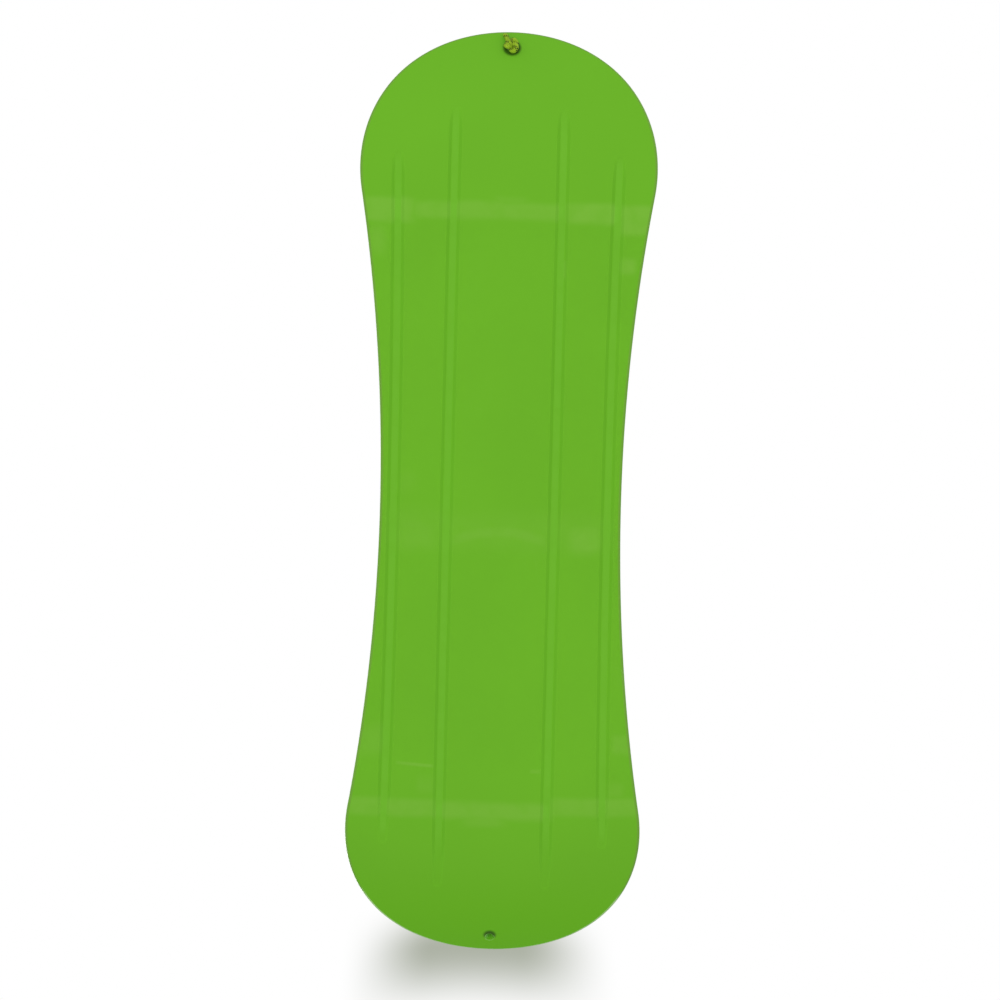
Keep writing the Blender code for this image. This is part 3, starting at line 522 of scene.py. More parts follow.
@dataclass(frozen=True)
class WovenWebbing(Finish):
    """Woven nylon strap, on a UV map in metres."""

    yarn: float = 1.3 * MM

    def looks(self, shade: Shade) -> Feeds:
        """Works out the shader's inputs.

        Args:
            shade: The material's tree.

        Returns:
            What feeds them.
        """
        height = shade.group(WEAVE, {"Vector": shade.cloth(), "Yarn": self.yarn})["Height"]
        fluff = shade.step(shade.noise(shade.place(), 700.0, 3.0), 0.5, 0.8, 0.0, 0.5)
        body = linear(self.colour)
        # painted shade: the weave darkens in its hollows
        yarn = shade.mix(shade.step(height, 0.05, 0.8), toned(body, 0.45), body)
        return {
            "Base Color": shade.mix(fluff, yarn, toned(body, 1.7, 0.01)),
            "Roughness": 0.82,
            "Sheen Weight": 0.2,
            "Normal": shade.bump(height, 0.3 * MM),
        }


@dataclass(frozen=True)
class LoopPile(Finish):
    """The fuzzy loop face of a hook-and-loop closure."""

    def looks(self, shade: Shade) -> Feeds:
        """Works out the shader's inputs.

        Args:
            shade: The material's tree.

        Returns:
            What feeds them.
        """
        loops = shade.put("TexVoronoi", {"Vector": shade.place(), "Scale": 1100.0}).outputs["Distance"]
        body = linear(self.colour)
        return {
            "Base Color": shade.mix(shade.step(loops, 0.1, 0.7), body, toned(body, 0.35)),
            "Roughness": 0.95,
            "Sheen Weight": 0.5,
            "Normal": shade.bump(loops, 0.5 * MM),
        }


@dataclass(frozen=True)
class SpacerMesh(Finish):
    """The padded straps' airy mesh cloth: small round holes in a knitted ground, on a UV map in metres."""

    holes: float = 330.0  # per metre
    yarn: float = 0.5 * MM

    def looks(self, shade: Shade) -> Feeds:
        """Works out the shader's inputs.

        Args:
            shade: The material's tree.

        Returns:
            What feeds them.
        """
        cloth = shade.cloth()
        feeds = {"Vector": cloth, "Scale": self.holes, "Randomness": 0.12}
        cells = shade.put("TexVoronoi", feeds, voronoi_dimensions="2D").outputs["Distance"]
        # painted shade: the holes are darkened as hollows
        hole = shade.step(cells, 0.2, 0.36, 1.0, 0.0)
        weave = shade.group(WEAVE, {"Vector": cloth, "Yarn": self.yarn})["Height"]
        body = linear(self.colour)
        return {
            "Base Color": shade.mix(hole, body, toned(body, 0.22)),
            "Roughness": 0.88,
            "Sheen Weight": 0.25,
            "Normal": shade.bump(shade.minus(shade.times(weave, 0.3), hole), 0.4 * MM),
        }


@dataclass(frozen=True)
class CellFoam(Finish):
    """Moulded foam with fine closed cells and a few paler flecks."""

    def looks(self, shade: Shade) -> Feeds:
        """Works out the shader's inputs.

        Args:
            shade: The material's tree.

        Returns:
            What feeds them.
        """
        place = shade.place()
        cells = shade.put("TexVoronoi", {"Vector": place, "Scale": 900.0}).outputs["Distance"]
        flecks = shade.step(shade.noise(place, 380.0, 1.0), 0.66, 0.72)
        body = linear(self.colour)
        return {
            "Base Color": shade.mix(shade.times(flecks, 0.5), body, toned(body, 2.2, 0.02)),
            "Roughness": 0.92,
            "Normal": shade.bump(cells, 0.15 * MM),
        }


@dataclass(frozen=True)
class PlatedMetal(Finish):
    """Zinc-plated steel or brass: bright, with a faint clouding and fine turning marks."""

    roughness: float

    def looks(self, shade: Shade) -> Feeds:
        """Works out the shader's inputs.

        Args:
            shade: The material's tree.

        Returns:
            What feeds them.
        """
        grain = shade.group(GRAIN, {"Vector": shade.place(), "Grain": 2600.0, "Drift": 180.0})
        body = linear(self.colour)
        return {
            "Base Color": shade.mix(grain["Tone"], toned(body, 0.78), body),
            "Metallic": 1.0,
            "Roughness": shade.step(grain["Gloss"], 0.3, 0.7, self.roughness - 0.06, self.roughness + 0.1),
            "Normal": shade.bump(grain["Height"], 0.01 * MM),
        }


@dataclass(frozen=True)
class SpunThread(Finish):
    """Sewing thread."""

    def looks(self, shade: Shade) -> Feeds:
        """Works out the shader's inputs.

        Args:
            shade: The material's tree.

        Returns:
            What feeds them.
        """
        twist = shade.noise(shade.place(), 2500.0, 1.0)
        body = linear(self.colour)
        return {
            "Base Color": shade.mix(shade.step(twist, 0.35, 0.6), toned(body, 0.6), body),
            "Roughness": 0.6,
            "Normal": shade.bump(twist, 0.1 * MM),
        }


# Mesh building.


def smooth_step(value: float, low: float, high: float) -> float:
    """Returns a smooth step of the value from low to high, from 0 to 1."""
    share = min(1.0, max(0.0, (value - low) / (high - low)))
    return share * share * (3 - 2 * share)


def shown(name: str, data: bpy.types.ID) -> Piece:
    """Puts an object in the scene.

    Args:
        name: Its name.
        data: The mesh, curve, light or camera that it holds.

    Returns:
        The object.
    """
    made = bpy.data.objects.new(name, data)
    bpy.context.scene.collection.objects.link(made)
    return made


def stored(name: str, bm: Mesh) -> bpy.types.Mesh:
    """Turns a bmesh into a mesh.

    Args:
        name: The mesh's name.
        bm: The bmesh. It is freed.

    Returns:
        The mesh.
    """
    mesh = bpy.data.meshes.new(name)
    bm.to_mesh(mesh)
    bm.free()
    return mesh


def publish(name: str, bm: Mesh, dresses: Iterable[Material]) -> Piece:
    """Turns a bmesh into an object of the scene.

    Args:
        name: The piece's name.
        bm: The mesh, in the place where the piece stands. It is freed.
        dresses: The materials, in the order of the faces' material numbers.

    Returns:
        The object.
    """
    mesh = stored(name, bm)
    mesh.shade_smooth()
    for dress in dresses:
        mesh.materials.append(dress)
    return shown(name, mesh)


def soften(piece: Piece, sharp: float, width: float = 0.0) -> None:
    """Marks a piece's sharp edges, rounds them and gives its large faces the say over its shading.

    Args:
        piece: The mesh object.
        sharp: The least turn of a sharp edge, in degrees.
        width: How far each rounded edge reaches.
    """
    piece.data.set_sharp_from_angle(angle=math.radians(sharp))
    if width > 0:
        rounding = piece.modifiers.new("rounding", "BEVEL")
        rounding.width = width
        rounding.segments = 2
        rounding.limit_method = "ANGLE"
        rounding.angle_limit = math.radians(sharp)
        rounding.use_clamp_overlap = True
        rounding.harden_normals = False
    weighting = piece.modifiers.new("weighting", "WEIGHTED_NORMAL")
    weighting.keep_sharp = True


def outward(bm: Mesh) -> Mesh:
    """Returns the bmesh with all its faces turned outwards."""
    bmesh.ops.recalc_face_normals(bm, faces=bm.faces)
    return bm


def points_of(made: Iterable[object]) -> list[bmesh.types.BMVert]:
    """Returns the points among what a bmesh operator gives back."""
    return [item for item in made if isinstance(item, bmesh.types.BMVert)]


def sliced(bm: Mesh, along: float, merge: float) -> None:
    """Cuts new edges across a bmesh.

    Args:
        bm: The bmesh.
        along: The cut's place along X.
        merge: How near to the cut a point counts as on it.
    """
    bmesh.ops.bisect_plane(
        bm, geom=bm.verts[:] + bm.edges[:] + bm.faces[:], dist=merge,
        plane_co=(along, 0, 0), plane_no=(1, 0, 0),
    )


def turned(profile: list[Pair], steps: int) -> Mesh:
    """Spins a profile about Z.

    Args:
        profile: Points of radius and height. It starts and ends on the axis, or closes on itself.
        steps: The faces in a full turn.

    Returns:
        The closed shape.
    """
    bm = bmesh.new()
    points = [bm.verts.new((radius, 0, height)) for radius, height in profile]
    edges = [bm.edges.new(pair) for pair in zip(points, points[1:])]
    if profile[0][0] > 0:
        edges.append(bm.edges.new((points[-1], points[0])))
    bmesh.ops.spin(
        bm, geom=points + edges, cent=(0, 0, 0), axis=(0, 0, 1), angle=math.tau, steps=steps, use_merge=True
    )
    bmesh.ops.remove_doubles(bm, verts=bm.verts, dist=0.001 * MM)
    return outward(bm)


def placed(bm: Mesh, matrix: Matrix) -> Mesh:
    """Returns the bmesh after the transform."""
    bmesh.ops.transform(bm, matrix=matrix, verts=bm.verts)
    return bm


def block(matrix: Matrix, size: Triple) -> Mesh:
    """Makes a box.

    Args:
        matrix: The frame that has the box in its middle.
        size: Its sides.

    Returns:
        The box.
    """
    bm = bmesh.new()
    bmesh.ops.create_cube(bm, size=1)
    return placed(bm, matrix @ Matrix.Diagonal((*size, 1)))


def gathered(shapes: Iterable[Mesh]) -> Mesh:
    """Puts shapes side by side in one bmesh.

    Args:
        shapes: The shapes. They are freed.

    Returns:
        The bmesh.
    """
    whole = bmesh.new()
    for shape in shapes:
        mesh = stored("shape", shape)
        whole.from_mesh(mesh)
        bpy.data.meshes.remove(mesh)
    return whole


def carved(base: Mesh, tool: Mesh) -> Mesh:
    """Cuts a closed shape out of another one.

    Args:
        base: The shape that is cut. It is freed.
        tool: What is cut out. It is freed.

    Returns:
        What is left.
    """
    helpers = [shown(name, stored(name, bm)) for name, bm in (("base", base), ("tool", tool))]
    cut = helpers[0].modifiers.new("cut", "BOOLEAN")
    cut.operation = "DIFFERENCE"
    cut.object = helpers[1]
    result = bmesh.new()
    result.from_mesh(helpers[0].evaluated_get(bpy.context.evaluated_depsgraph_get()).to_mesh())
    for helper in helpers:
        mesh = helper.data
        bpy.data.objects.remove(helper, do_unlink=True)
        bpy.data.meshes.remove(mesh)
    return result


# Studio.


@dataclass(frozen=True)
class Lamp:
    """A soft square lamp that the camera doesn't see."""

    name: str
    place: Triple
    side: float
    watts: float
    gleams: bool = True

    def light(self) -> None:
        """Hangs the lamp and turns it to the board."""
        light = bpy.data.lights.new(self.name, "AREA")
        light.shape = "SQUARE"
        light.size = self.side
        light.energy = self.watts
        made = shown(self.name, light)
        made.location = self.place
        made.rotation_mode = "QUATERNION"
        made.rotation_quaternion = (-Vector(self.place)).to_track_quat("-Z", "Y")
        made.visible_camera = False
        made.visible_glossy = self.gleams


@dataclass
class Studio:
    """The white studio: a camera that faces the running base, soft lamps on both sides, and a pale floor."""

    distance: float = 8.0
    tilt: float = 7.2  # degrees that the camera stands towards the nose
    roll: float = 1.45
    lens: float = 293.5
    aim: Pair = (2.7 * MM, -0.6 * MM)
    floor_side: float = 60.0
    surround_below: float = 0.74
    surround_above: float = 0.5
    surround_tail: float = 0.8  # of the light that comes from the tail's side
    floor_far: Pair = (0.6, 1.5)  # from the board, where it fades into the backdrop
    floor_glow: float = 0.65  # the share of its look that glows, with painted shade, and takes no tint from the board
    floor_shade: float = 0.3  # the reach of its soft shade, painted into its glow from ambient occlusion
    floor_shade_colour: Colour = (128, 132, 128)
    floor_tones: tuple[Colour, Colour] = ((236, 236, 236), (242, 242, 242))
    stand_reach: float = 0.9  # down from the edge that the tail stands on
    stand_half: float = 0.7  # to each side
    stand_points: int = 60  # of its edge, on each side
    stand_lip: float = 44 * MM  # over the tail's tip, where its edge goes level
    stand_rise: float = 1.2 * MM  # of its edge over the tail's
    # painted shadow: the colour of the ground's soft pool of shade under the tail
    stand_shadow: Colour = (174, 179, 166)
    shade_left: Pair = (-142 * MM, -55 * MM)  # across the board, where the painted shade goes from none to full
    shade_right: Pair = (125 * MM, 28 * MM)
    shade_back: Pair = (42 * MM, 3 * MM)  # over the tail's tip, as the camera sees it
    shade_front: Pair = (-48 * MM, 3 * MM)
    # painted shade: the colour of the glowing cards behind the rope holes
    behind_hole_shade: Colour = (58, 112, 16)
    card_gap: float = 20 * MM
    card_half: float = 12 * MM
    lamps: tuple[Lamp, ...] = (
        Lamp("base_key", (2.0, -0.6, -5.6), 2.0, 112.0, gleams=False),
        Lamp("deck_key", (-3.0, -4.0, 6.0), 3.0, 420.0),
        Lamp("deck_fill", (3.5, 4.5, 5.0), 4.0, 150.0),
    )

    def build(self) -> None:
        """Sets up the camera, the lamps, the world and the floor."""
        scene = bpy.context.scene
        scene.view_settings.view_transform = "Standard"
        self.camera(scene)
        for lamp in self.lamps:
            lamp.light()
        self.world(scene)
        self.floor()

    @property
    def back(self) -> Vector:
        """The direction from the board to the camera."""
        lean = math.radians(self.tilt)
        return Vector((math.sin(lean), 0, -math.cos(lean)))

    @property
    def eye(self) -> Vector:
        """The camera's place."""
        return Vector((*self.aim, 0)) + self.back * self.distance

    def camera(self, scene: bpy.types.Scene) -> None:
        """Stands the camera in front of the base, with the nose up and the board a little turned.

        Args:
            scene: The scene that it films.
        """
        back = self.back
        up = Vector((-back.z, 0, back.x))
        right = up.cross(back)
        data = bpy.data.cameras.new("camera")
        data.lens = self.lens
        data.clip_start = 0.1
        data.clip_end = 200.0
        camera = shown("camera", data)
        turn = Matrix((right, up, back)).transposed().to_4x4()
        roll = Matrix.Rotation(math.radians(self.roll), 4, "Z")
        camera.matrix_world = Matrix.Translation(self.eye) @ turn @ roll
        scene.camera = camera

    def world(self, scene: bpy.types.Scene) -> None:
        """Lights the object with a soft surround that the camera and gloss see as plain white.

        Args:
            scene: The scene that it surrounds.
        """
        world = bpy.data.worlds.new("white_studio")
        world.use_nodes = True
        shade = Shade(world.node_tree)
        path = shade.put("LightPath")
        seen = shade.math("MAXIMUM", path.outputs["Is Camera Ray"], path.outputs["Is Glossy Ray"])
        seen = shade.math("MAXIMUM", seen, path.outputs["Is Transmission Ray"])
        way = shade.put("SeparateXYZ", {"Vector": shade.put("TexCoord").outputs["Generated"]})
        soft = shade.step(way.outputs["Z"], -0.3, 0.5, self.surround_below, self.surround_above)
        soft = shade.times(soft, shade.step(way.outputs["X"], -1.0, 0.0, self.surround_tail, 1.0))
        strength = shade.put("Mix", {0: seen, 2: soft, 3: 1.0}, data_type="FLOAT").outputs[0]
        light = shade.put("Background", {"Color": (1, 1, 1, 1), "Strength": strength})
        shade.end(light, "OutputWorld")
        scene.world = world

    def floor(self) -> None:
        """Lays the pale floor, which shows only from above and fades into the white backdrop far off."""
        bm = bmesh.new()
        bmesh.ops.create_grid(bm, x_segments=1, y_segments=1, size=self.floor_side / 2)
        material, shade = new_material("pale_floor")
        place = shade.place()
        tones = (linear(tone) for tone in self.floor_tones)
        paint = shade.put("BsdfDiffuse", {"Color": shade.mix(shade.noise(place, 1.5, 3.0), *tones)})
        # painted shade: near the board the glow darkens by ambient occlusion, while the diffuse share keeps
        # the lamps' shadows
        open_share = shade.put("AmbientOcclusion", {"Distance": self.floor_shade}, samples=16).outputs["AO"]
        soft = shade.mix(shade.step(open_share, 0.0, 1.0), linear(self.floor_shade_colour), (1, 1, 1, 1))
        away = shade.put("VectorMath", {0: place}, operation="LENGTH").outputs["Value"]
        soft = shade.mix(shade.step(away, *self.floor_far), soft, (1, 1, 1, 1))
        glow = shade.put("Emission", {"Color": soft})
        share = shade.step(away, *self.floor_far, self.floor_glow, 1.0)
        ground = shade.put("MixShader", {0: share, 1: paint.outputs[0], 2: glow.outputs[0]})
        clear = shade.put("BsdfTransparent")
        behind = shade.put("NewGeometry").outputs["Backfacing"]
        surface = shade.put("MixShader", {0: behind, 1: ground.outputs[0], 2: clear.outputs[0]})
        shade.end(surface)
        self.keep(publish("floor", bm, [material]))

    def keep(self, piece: Piece) -> None:
        """Lets only the camera see a piece of the stage.

        Args:
            piece: The piece.
        """
        for way in ("diffuse", "glossy", "transmission", "shadow"):
            setattr(piece, f"visible_{way}", False)

    def stand(self, board: "Board") -> None:
        """Lays the ground that the tail stands on in the main view, under the floor of the other views.

        Args:
            board: The board, whose tail the ground's edge follows.
        """
        end = board.width / 2
        eye = self.eye
        edge = []
        bm = bmesh.new()
        for i in range(-self.stand_points, self.stand_points + 1):
            across = self.stand_half * math.copysign(abs(i / self.stand_points) ** 1.6, i)
            out = board.length / 2 - end + math.sqrt(max(0.0, end**2 - across**2))
            rim = board.bent((-out, across, 0))
            edge.append(eye + (rim - eye) * (eye.z / (eye.z - rim.z)))
        tip = min(point.x for point in edge)
        lip = tip + self.stand_lip
        line = []
        for point in edge:
            rise = self.stand_rise * (1 - smooth_step(point.x, tip + self.stand_lip / 3, lip))
            line.append(bm.verts.new((min(point.x + rise, lip), point.y, -TOUCH)))
        rim = [bm.edges.new(pair) for pair in zip(line, line[1:])]
        far = points_of(bmesh.ops.extrude_edge_only(bm, edges=rim)["geom"])
        bmesh.ops.translate(bm, verts=far, vec=(0, 0, -self.stand_reach))
        material, shade = new_material("pale_ground")
        along, across, deep = shade.put("SeparateXYZ", {"Vector": shade.place()}).outputs
        lean = math.tan(math.radians(self.tilt))
        height = shade.minus(shade.plus(shade.times(deep, lean), along), tip)
        # painted shadow: the ground glows white, darkened in soft steps across the board and over the tail's
        # tip
        shadow: Socket | float = 1.0
        for value, reach in (
            (across, self.shade_left), (across, self.shade_right),
            (height, self.shade_back), (height, self.shade_front),
        ):
            shadow = shade.times(shadow, shade.step(value, *reach))
        shade.end(shade.put("Emission", {"Color": shade.mix(shadow, (1, 1, 1, 1), linear(self.stand_shadow))}))
        self.keep(publish("ground", bm, [material]))

    def dusk(self, board: "Board") -> None:
        """Hangs a one-sided card behind each rope hole, painted with the shade that the camera sees there.

        Args:
            board: The board with the holes.
        """
        cards = []
        for end in (1, -1):
            hole = board.bent((end * board.hole_place, 0, board.thickness))
            card = bmesh.new()
            bmesh.ops.create_grid(card, x_segments=1, y_segments=1, size=1)
            seen = hole + (hole - self.eye).normalized() * self.card_gap
            size = Matrix.Diagonal((self.card_half, self.card_half, 1, 1))
            cards.append(placed(card, Matrix.Translation(seen) @ size))
        material, shade = new_material("shade_behind")
        dark = shade.put("Emission", {"Color": linear(self.behind_hole_shade)})
        clear = shade.put("BsdfTransparent")
        behind = shade.put("NewGeometry").outputs["Backfacing"]
        shade.end(shade.put("MixShader", {0: behind, 1: clear.outputs[0], 2: dark.outputs[0]}))
        self.keep(publish("shade_cards", gathered(cards), [material]))


# Board.


class BoardPart(Enum):
    """The parts of the board's skin that have a finish of their own."""

    BASE = "base"
    RIM = "rim"
    DECK = "deck"
    GROOVE_FLOOR = "groove_floor"
    GROOVE_WALL = "groove_wall"
    BORE = "bore"


@dataclass
class Board:
    """The moulded board: turned-up tips, four grooves in its base and a rope hole at each end."""

    length: float = 950 * MM
    width: float = 291 * MM
    waist: float = 236.5 * MM
    thickness: float = 8 * MM
    rounding: float = 2.5 * MM
    kick_start: float = 271 * MM
    kick_radius: float = 289 * MM
    hole_radius: float = 4.5 * MM
    hole_inset: float = 20 * MM
    groove_width: float = 12.5 * MM
    groove_floor: float = 6 * MM
    groove_depth: float = 2.5 * MM
    groove_lip: float = 0.8 * MM  # its rounded edge, on each side
    groove_end_depth: float = 0.14  # of its full depth, at each end
    groove_end_width: float = 0.66  # of its full width, at each end
    groove_fades: Pair = (26 * MM, 60 * MM)  # over which a groove runs out, at nose and tail
    groove_overrun: float = 6 * MM  # of each run-out past the groove's end
    groove_slices: int = 24  # between the cuts that let it run out and bow
    groove_end_slices: tuple[float, ...] = (4 * MM, 9 * MM, 15 * MM, 22 * MM, 40 * MM, 50 * MM)
    grooves: tuple[Triple, ...] = (
        (391.5 * MM, 53 * MM, 0.0),
        (344 * MM, 105.1 * MM, 3.3 * MM),
    )  # reach, offset and bow
    flare: float = 0.3 * MM  # of a rope hole, at each face
    pocket_radius: float = 5 * MM
    pocket_depth: float = 6 * MM
    pocket_spacing: float = 40 * MM
    binding_places: Pair = (120 * MM, -190 * MM)
    strip: float = 5 * MM  # between the cuts that let the tips bend
    overcut: float = 1 * MM

    @property
    def hole_place(self) -> float:
        """The nose hole's distance from the middle, on the flat blank."""
        return self.length / 2 - self.hole_inset

    def bent(self, point: Iterable[float]) -> Vector:
        """Moves a point of the flat blank to where the turned-up tips have it.

        Args:
            point: Its places along, across and over the blank.

        Returns:
            Its place on the board.
        """
        along, across, up = point
        past = abs(along) - self.kick_start
        if past <= 0:
            return Vector((along, across, up))
        angle = past / self.kick_radius
        radius = self.kick_radius - up
        reach = self.kick_start + radius * math.sin(angle)
        return Vector((math.copysign(reach, along), across, self.kick_radius - radius * math.cos(angle)))

    def blank(self) -> Mesh:
        """Draws the flat plate with its rounded rim, from one spun and mirrored quarter of its outline.

        Returns:
            The closed plate.
        """
        end = self.width / 2
        end_centre = self.length / 2 - end
        half_waist = self.waist / 2
        side = (end_centre**2 + half_waist**2 - end**2) / (2 * (end - half_waist))
        side_centre = half_waist + side
        bm = bmesh.new()
        tip = bm.verts.new((self.length / 2, 0, 0))
        sweep = math.atan2(side_centre, -end_centre)
        arc = bmesh.ops.spin(bm, geom=[tip], cent=(end_centre, 0, 0), axis=(0, 0, 1), angle=sweep, steps=48)
        bmesh.ops.spin(
            bm, geom=points_of(arc["geom_last"]), cent=(0, side_centre, 0), axis=(0, 0, -1),
            angle=math.atan2(end_centre, side_centre), steps=30,
        )
        for axis in ("X", "Y"):
            bmesh.ops.mirror(bm, geom=bm.verts[:] + bm.edges[:], axis=axis, merge_dist=0.05 * MM)
            bmesh.ops.remove_doubles(bm, verts=bm.verts, dist=0.05 * MM)
        bmesh.ops.contextual_create(bm, geom=bm.edges[:])
        raised = points_of(bmesh.ops.extrude_face_region(outward(bm), geom=bm.faces[:])["geom"])
        bmesh.ops.translate(bm, verts=raised, vec=(0, 0, self.thickness))
        outward(bm)
        rim = [e for e in bm.edges if abs(e.verts[0].co.z - e.verts[1].co.z) < TOUCH]
        bmesh.ops.bevel(
            bm, geom=rim, offset=self.rounding, segments=5, profile=0.5, affect="EDGES",
            clamp_overlap=True, material=-1,
        )
        return bm

    def groove(self, reach: float, offset: float, bow: float, side: int) -> Mesh:
        """Draws a groove's cutter: a long stadium that narrows by steps to the groove's floor.

        Args:
            reach: From the board's middle to each end.
            offset: From the centre line to the groove's middle.
            bow: How far its ends stand out past its middle.
            side: 1 or -1, the side of the centre line.

        Returns:
            The closed cutter.
        """
        straight = reach - self.groove_width / 2
        half = self.groove_width / 2 + self.groove_lip
        bm = bmesh.new()
        start = bm.verts.new((straight, -half, 0))
        bmesh.ops.spin(bm, geom=[start], cent=(straight, 0, 0), axis=(0, 0, 1), angle=math.pi, steps=14)
        bmesh.ops.mirror(bm, geom=bm.verts[:] + bm.edges[:], axis="X", merge_dist=0.01 * MM)
        bmesh.ops.contextual_create(bm, geom=bm.edges[:])
        cap = bm.faces[:]
        if cap[0].normal.z < 0:
            bmesh.ops.reverse_faces(bm, faces=cap)
        floor = self.groove_floor / 2
        steps = (
            (0.0, self.overcut), (0.45 * MM, 0.1 * MM), (0.35 * MM, 0.25 * MM),
            (half - self.groove_lip - floor - 0.9 * MM, self.groove_depth - 0.6 * MM),
            (0.5 * MM, 0.18 * MM), (0.4 * MM, 0.07 * MM),
        )
        for inward, deep in steps:
            if inward:
                bmesh.ops.inset_region(bm, faces=cap, thickness=inward, depth=deep, use_even_offset=True)
            else:
                raised = bmesh.ops.extrude_face_region(bm, geom=cap)["geom"]
                cap = [item for item in raised if isinstance(item, bmesh.types.BMFace)]
                bmesh.ops.translate(bm, verts=cap[0].verts[:], vec=(0, 0, deep))
        bmesh.ops.holes_fill(bm, edges=[e for e in bm.edges if e.is_boundary], sides=0)
        bmesh.ops.translate(bm, verts=bm.verts, vec=(0, offset, -self.overcut))
        cuts = [-straight + 2 * straight * i / self.groove_slices for i in range(1, self.groove_slices)]
        for back in self.groove_end_slices:
            cuts += [straight - back, back - straight]
        for cut in cuts:
            sliced(bm, cut, 0.001 * MM)
        for vertex in bm.verts:
            fade = self.groove_fades[vertex.co.x < 0]
            full = smooth_step(reach - abs(vertex.co.x), -self.groove_overrun, fade)
            if vertex.co.z > 0:
                vertex.co.z *= full + (1 - full) * self.groove_end_depth
            vertex.co.y = offset + (vertex.co.y - offset) * (full + (1 - full) * self.groove_end_width)
            vertex.co.y += bow * min(1.0, abs(vertex.co.x) / straight) ** 2
            vertex.co.y *= side
        return outward(bm)

    def cutters(self) -> Mesh:
        """Draws all that is cut from the blank: grooves, rope holes and the inserts' pockets.

        Returns:
            The closed shapes.
        """
        found = [self.groove(*sizes, side) for sizes in self.grooves for side in (1, -1)]
        flare, radius, top, high = self.flare, self.hole_radius, self.thickness, self.thickness + self.overcut
        hole = [
            (0, -self.overcut), (radius + flare, -self.overcut), (radius + flare, 0),
            (radius + flare / 3, flare / 3), (radius, flare), (radius, top - flare),
            (radius + flare / 3, top - flare / 3), (radius + flare, top), (radius + flare, high), (0, high),
        ]
        for end in (1, -1):
            found.append(placed(turned(hole, 32), Matrix.Translation((end * self.hole_place, 0, 0))))
        low = top - self.pocket_depth
        pocket = [(0, low), (self.pocket_radius, low), (self.pocket_radius, high), (0, high)]
        for place in self.binding_places:
            for x, y in ((-0.5, -0.5), (-0.5, 0.5), (0.5, -0.5), (0.5, 0.5)):
                where = (place + x * self.pocket_spacing, y * self.pocket_spacing, 0)
                found.append(placed(turned(pocket, 20), Matrix.Translation(where)))
        return outward(gathered(found))

    def part_of(self, face: bmesh.types.BMFace) -> BoardPart:
        """Tells the parts of the board apart.

        Args:
            face: A face of the flat blank.

        Returns:
            The part that it belongs to.
        """
        middle = face.calc_center_median()
        if middle.z > self.thickness - 0.2 * MM and face.normal.z > 0.9:
            return BoardPart.DECK
        if math.hypot(abs(middle.x) - self.hole_place, middle.y) < self.hole_radius + 0.1 * MM:
            return BoardPart.BORE
        for reach, offset, bow in self.grooves:
            aside = abs(abs(middle.y) - offset - bow * min(1.0, abs(middle.x) / reach) ** 2)
            if aside < self.groove_width / 2 + self.groove_lip and abs(middle.x) < reach + MM:
                if not 0.005 * MM < middle.z < self.groove_depth + 0.2 * MM:
                    return BoardPart.BASE
                return BoardPart.GROOVE_FLOOR if aside < self.groove_floor / 2 else BoardPart.GROOVE_WALL
        return BoardPart.RIM if 0.01 * MM < middle.z < self.rounding else BoardPart.BASE

    def build(self, dresses: dict[BoardPart, Material]) -> Piece:
        """Makes the board.

        Args:
            dresses: The finish of each of its parts.

        Returns:
            The board.
        """
        bm = carved(self.blank(), self.cutters())
        for i in range(math.ceil((self.length / 2 - self.kick_start) / self.strip)):
            for end in (1, -1):
                sliced(bm, end * (self.kick_start + self.strip * i), 0.01 * MM)
        order = list(BoardPart)
        for face in bm.faces:
            face.material_index = order.index(self.part_of(face))
        for vertex in bm.verts:
            vertex.co = self.bent(vertex.co)
        board = publish("board_shell", bm, [dresses[part] for part in order])
        soften(board, 40)
        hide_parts("board")
        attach(board, "board")
        log.info("%s: %d faces", board.name, len(board.data.polygons))
        return board


@dataclass
class DeckGrip:
    """The low moulded studs between the bindings, where the free foot stands."""

    board: Board
    middle: float = -35 * MM
    half_length: float = 86 * MM
    half_width: float = 84 * MM
    pitch: float = 14 * MM
    radius: float = 2.6 * MM
    height: float = 0.8 * MM
    root: float = 0.3 * MM  # in the deck
    row_share: float = 0.87  # of the pitch, from row to row

    def stud(self) -> Mesh:
        """Makes one stud on the origin.

        Returns:
            The closed shape.
        """
        radius, height = self.radius, self.height
        dome = [(0, -self.root), (radius, -self.root), (radius, 0.2 * height), (0.9 * radius, 0.65 * height),
                (0.62 * radius, 0.94 * height), (0, height)]
        return turned(dome, 12)

    def build(self, dress: Material) -> None:
        """Makes the studs in staggered rows inside a rounded square.

        Args:
            dress: Their finish.
        """
        rows = math.floor(self.half_length / (self.row_share * self.pitch))
        columns = math.floor(self.half_width / self.pitch)
        studs = []
        for row in range(-rows, rows + 1):
            for column in range(-columns, columns + 1):
                along = row * self.row_share * self.pitch
                across = (column + 0.5 * (row % 2)) * self.pitch
                if abs(along / self.half_length) ** 4 + abs(across / self.half_width) ** 4 > 0.98:
                    continue
                place = Matrix.Translation((self.middle + along, across, self.board.thickness))
                studs.append(placed(self.stud(), place))
        grip = publish("deck_grip_studs", gathered(studs), [dress])
        grip.data.set_sharp_from_angle(angle=math.radians(50))
        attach(grip, "board")
        log.info("%s: %d studs", grip.name, len(studs))


# Straps.


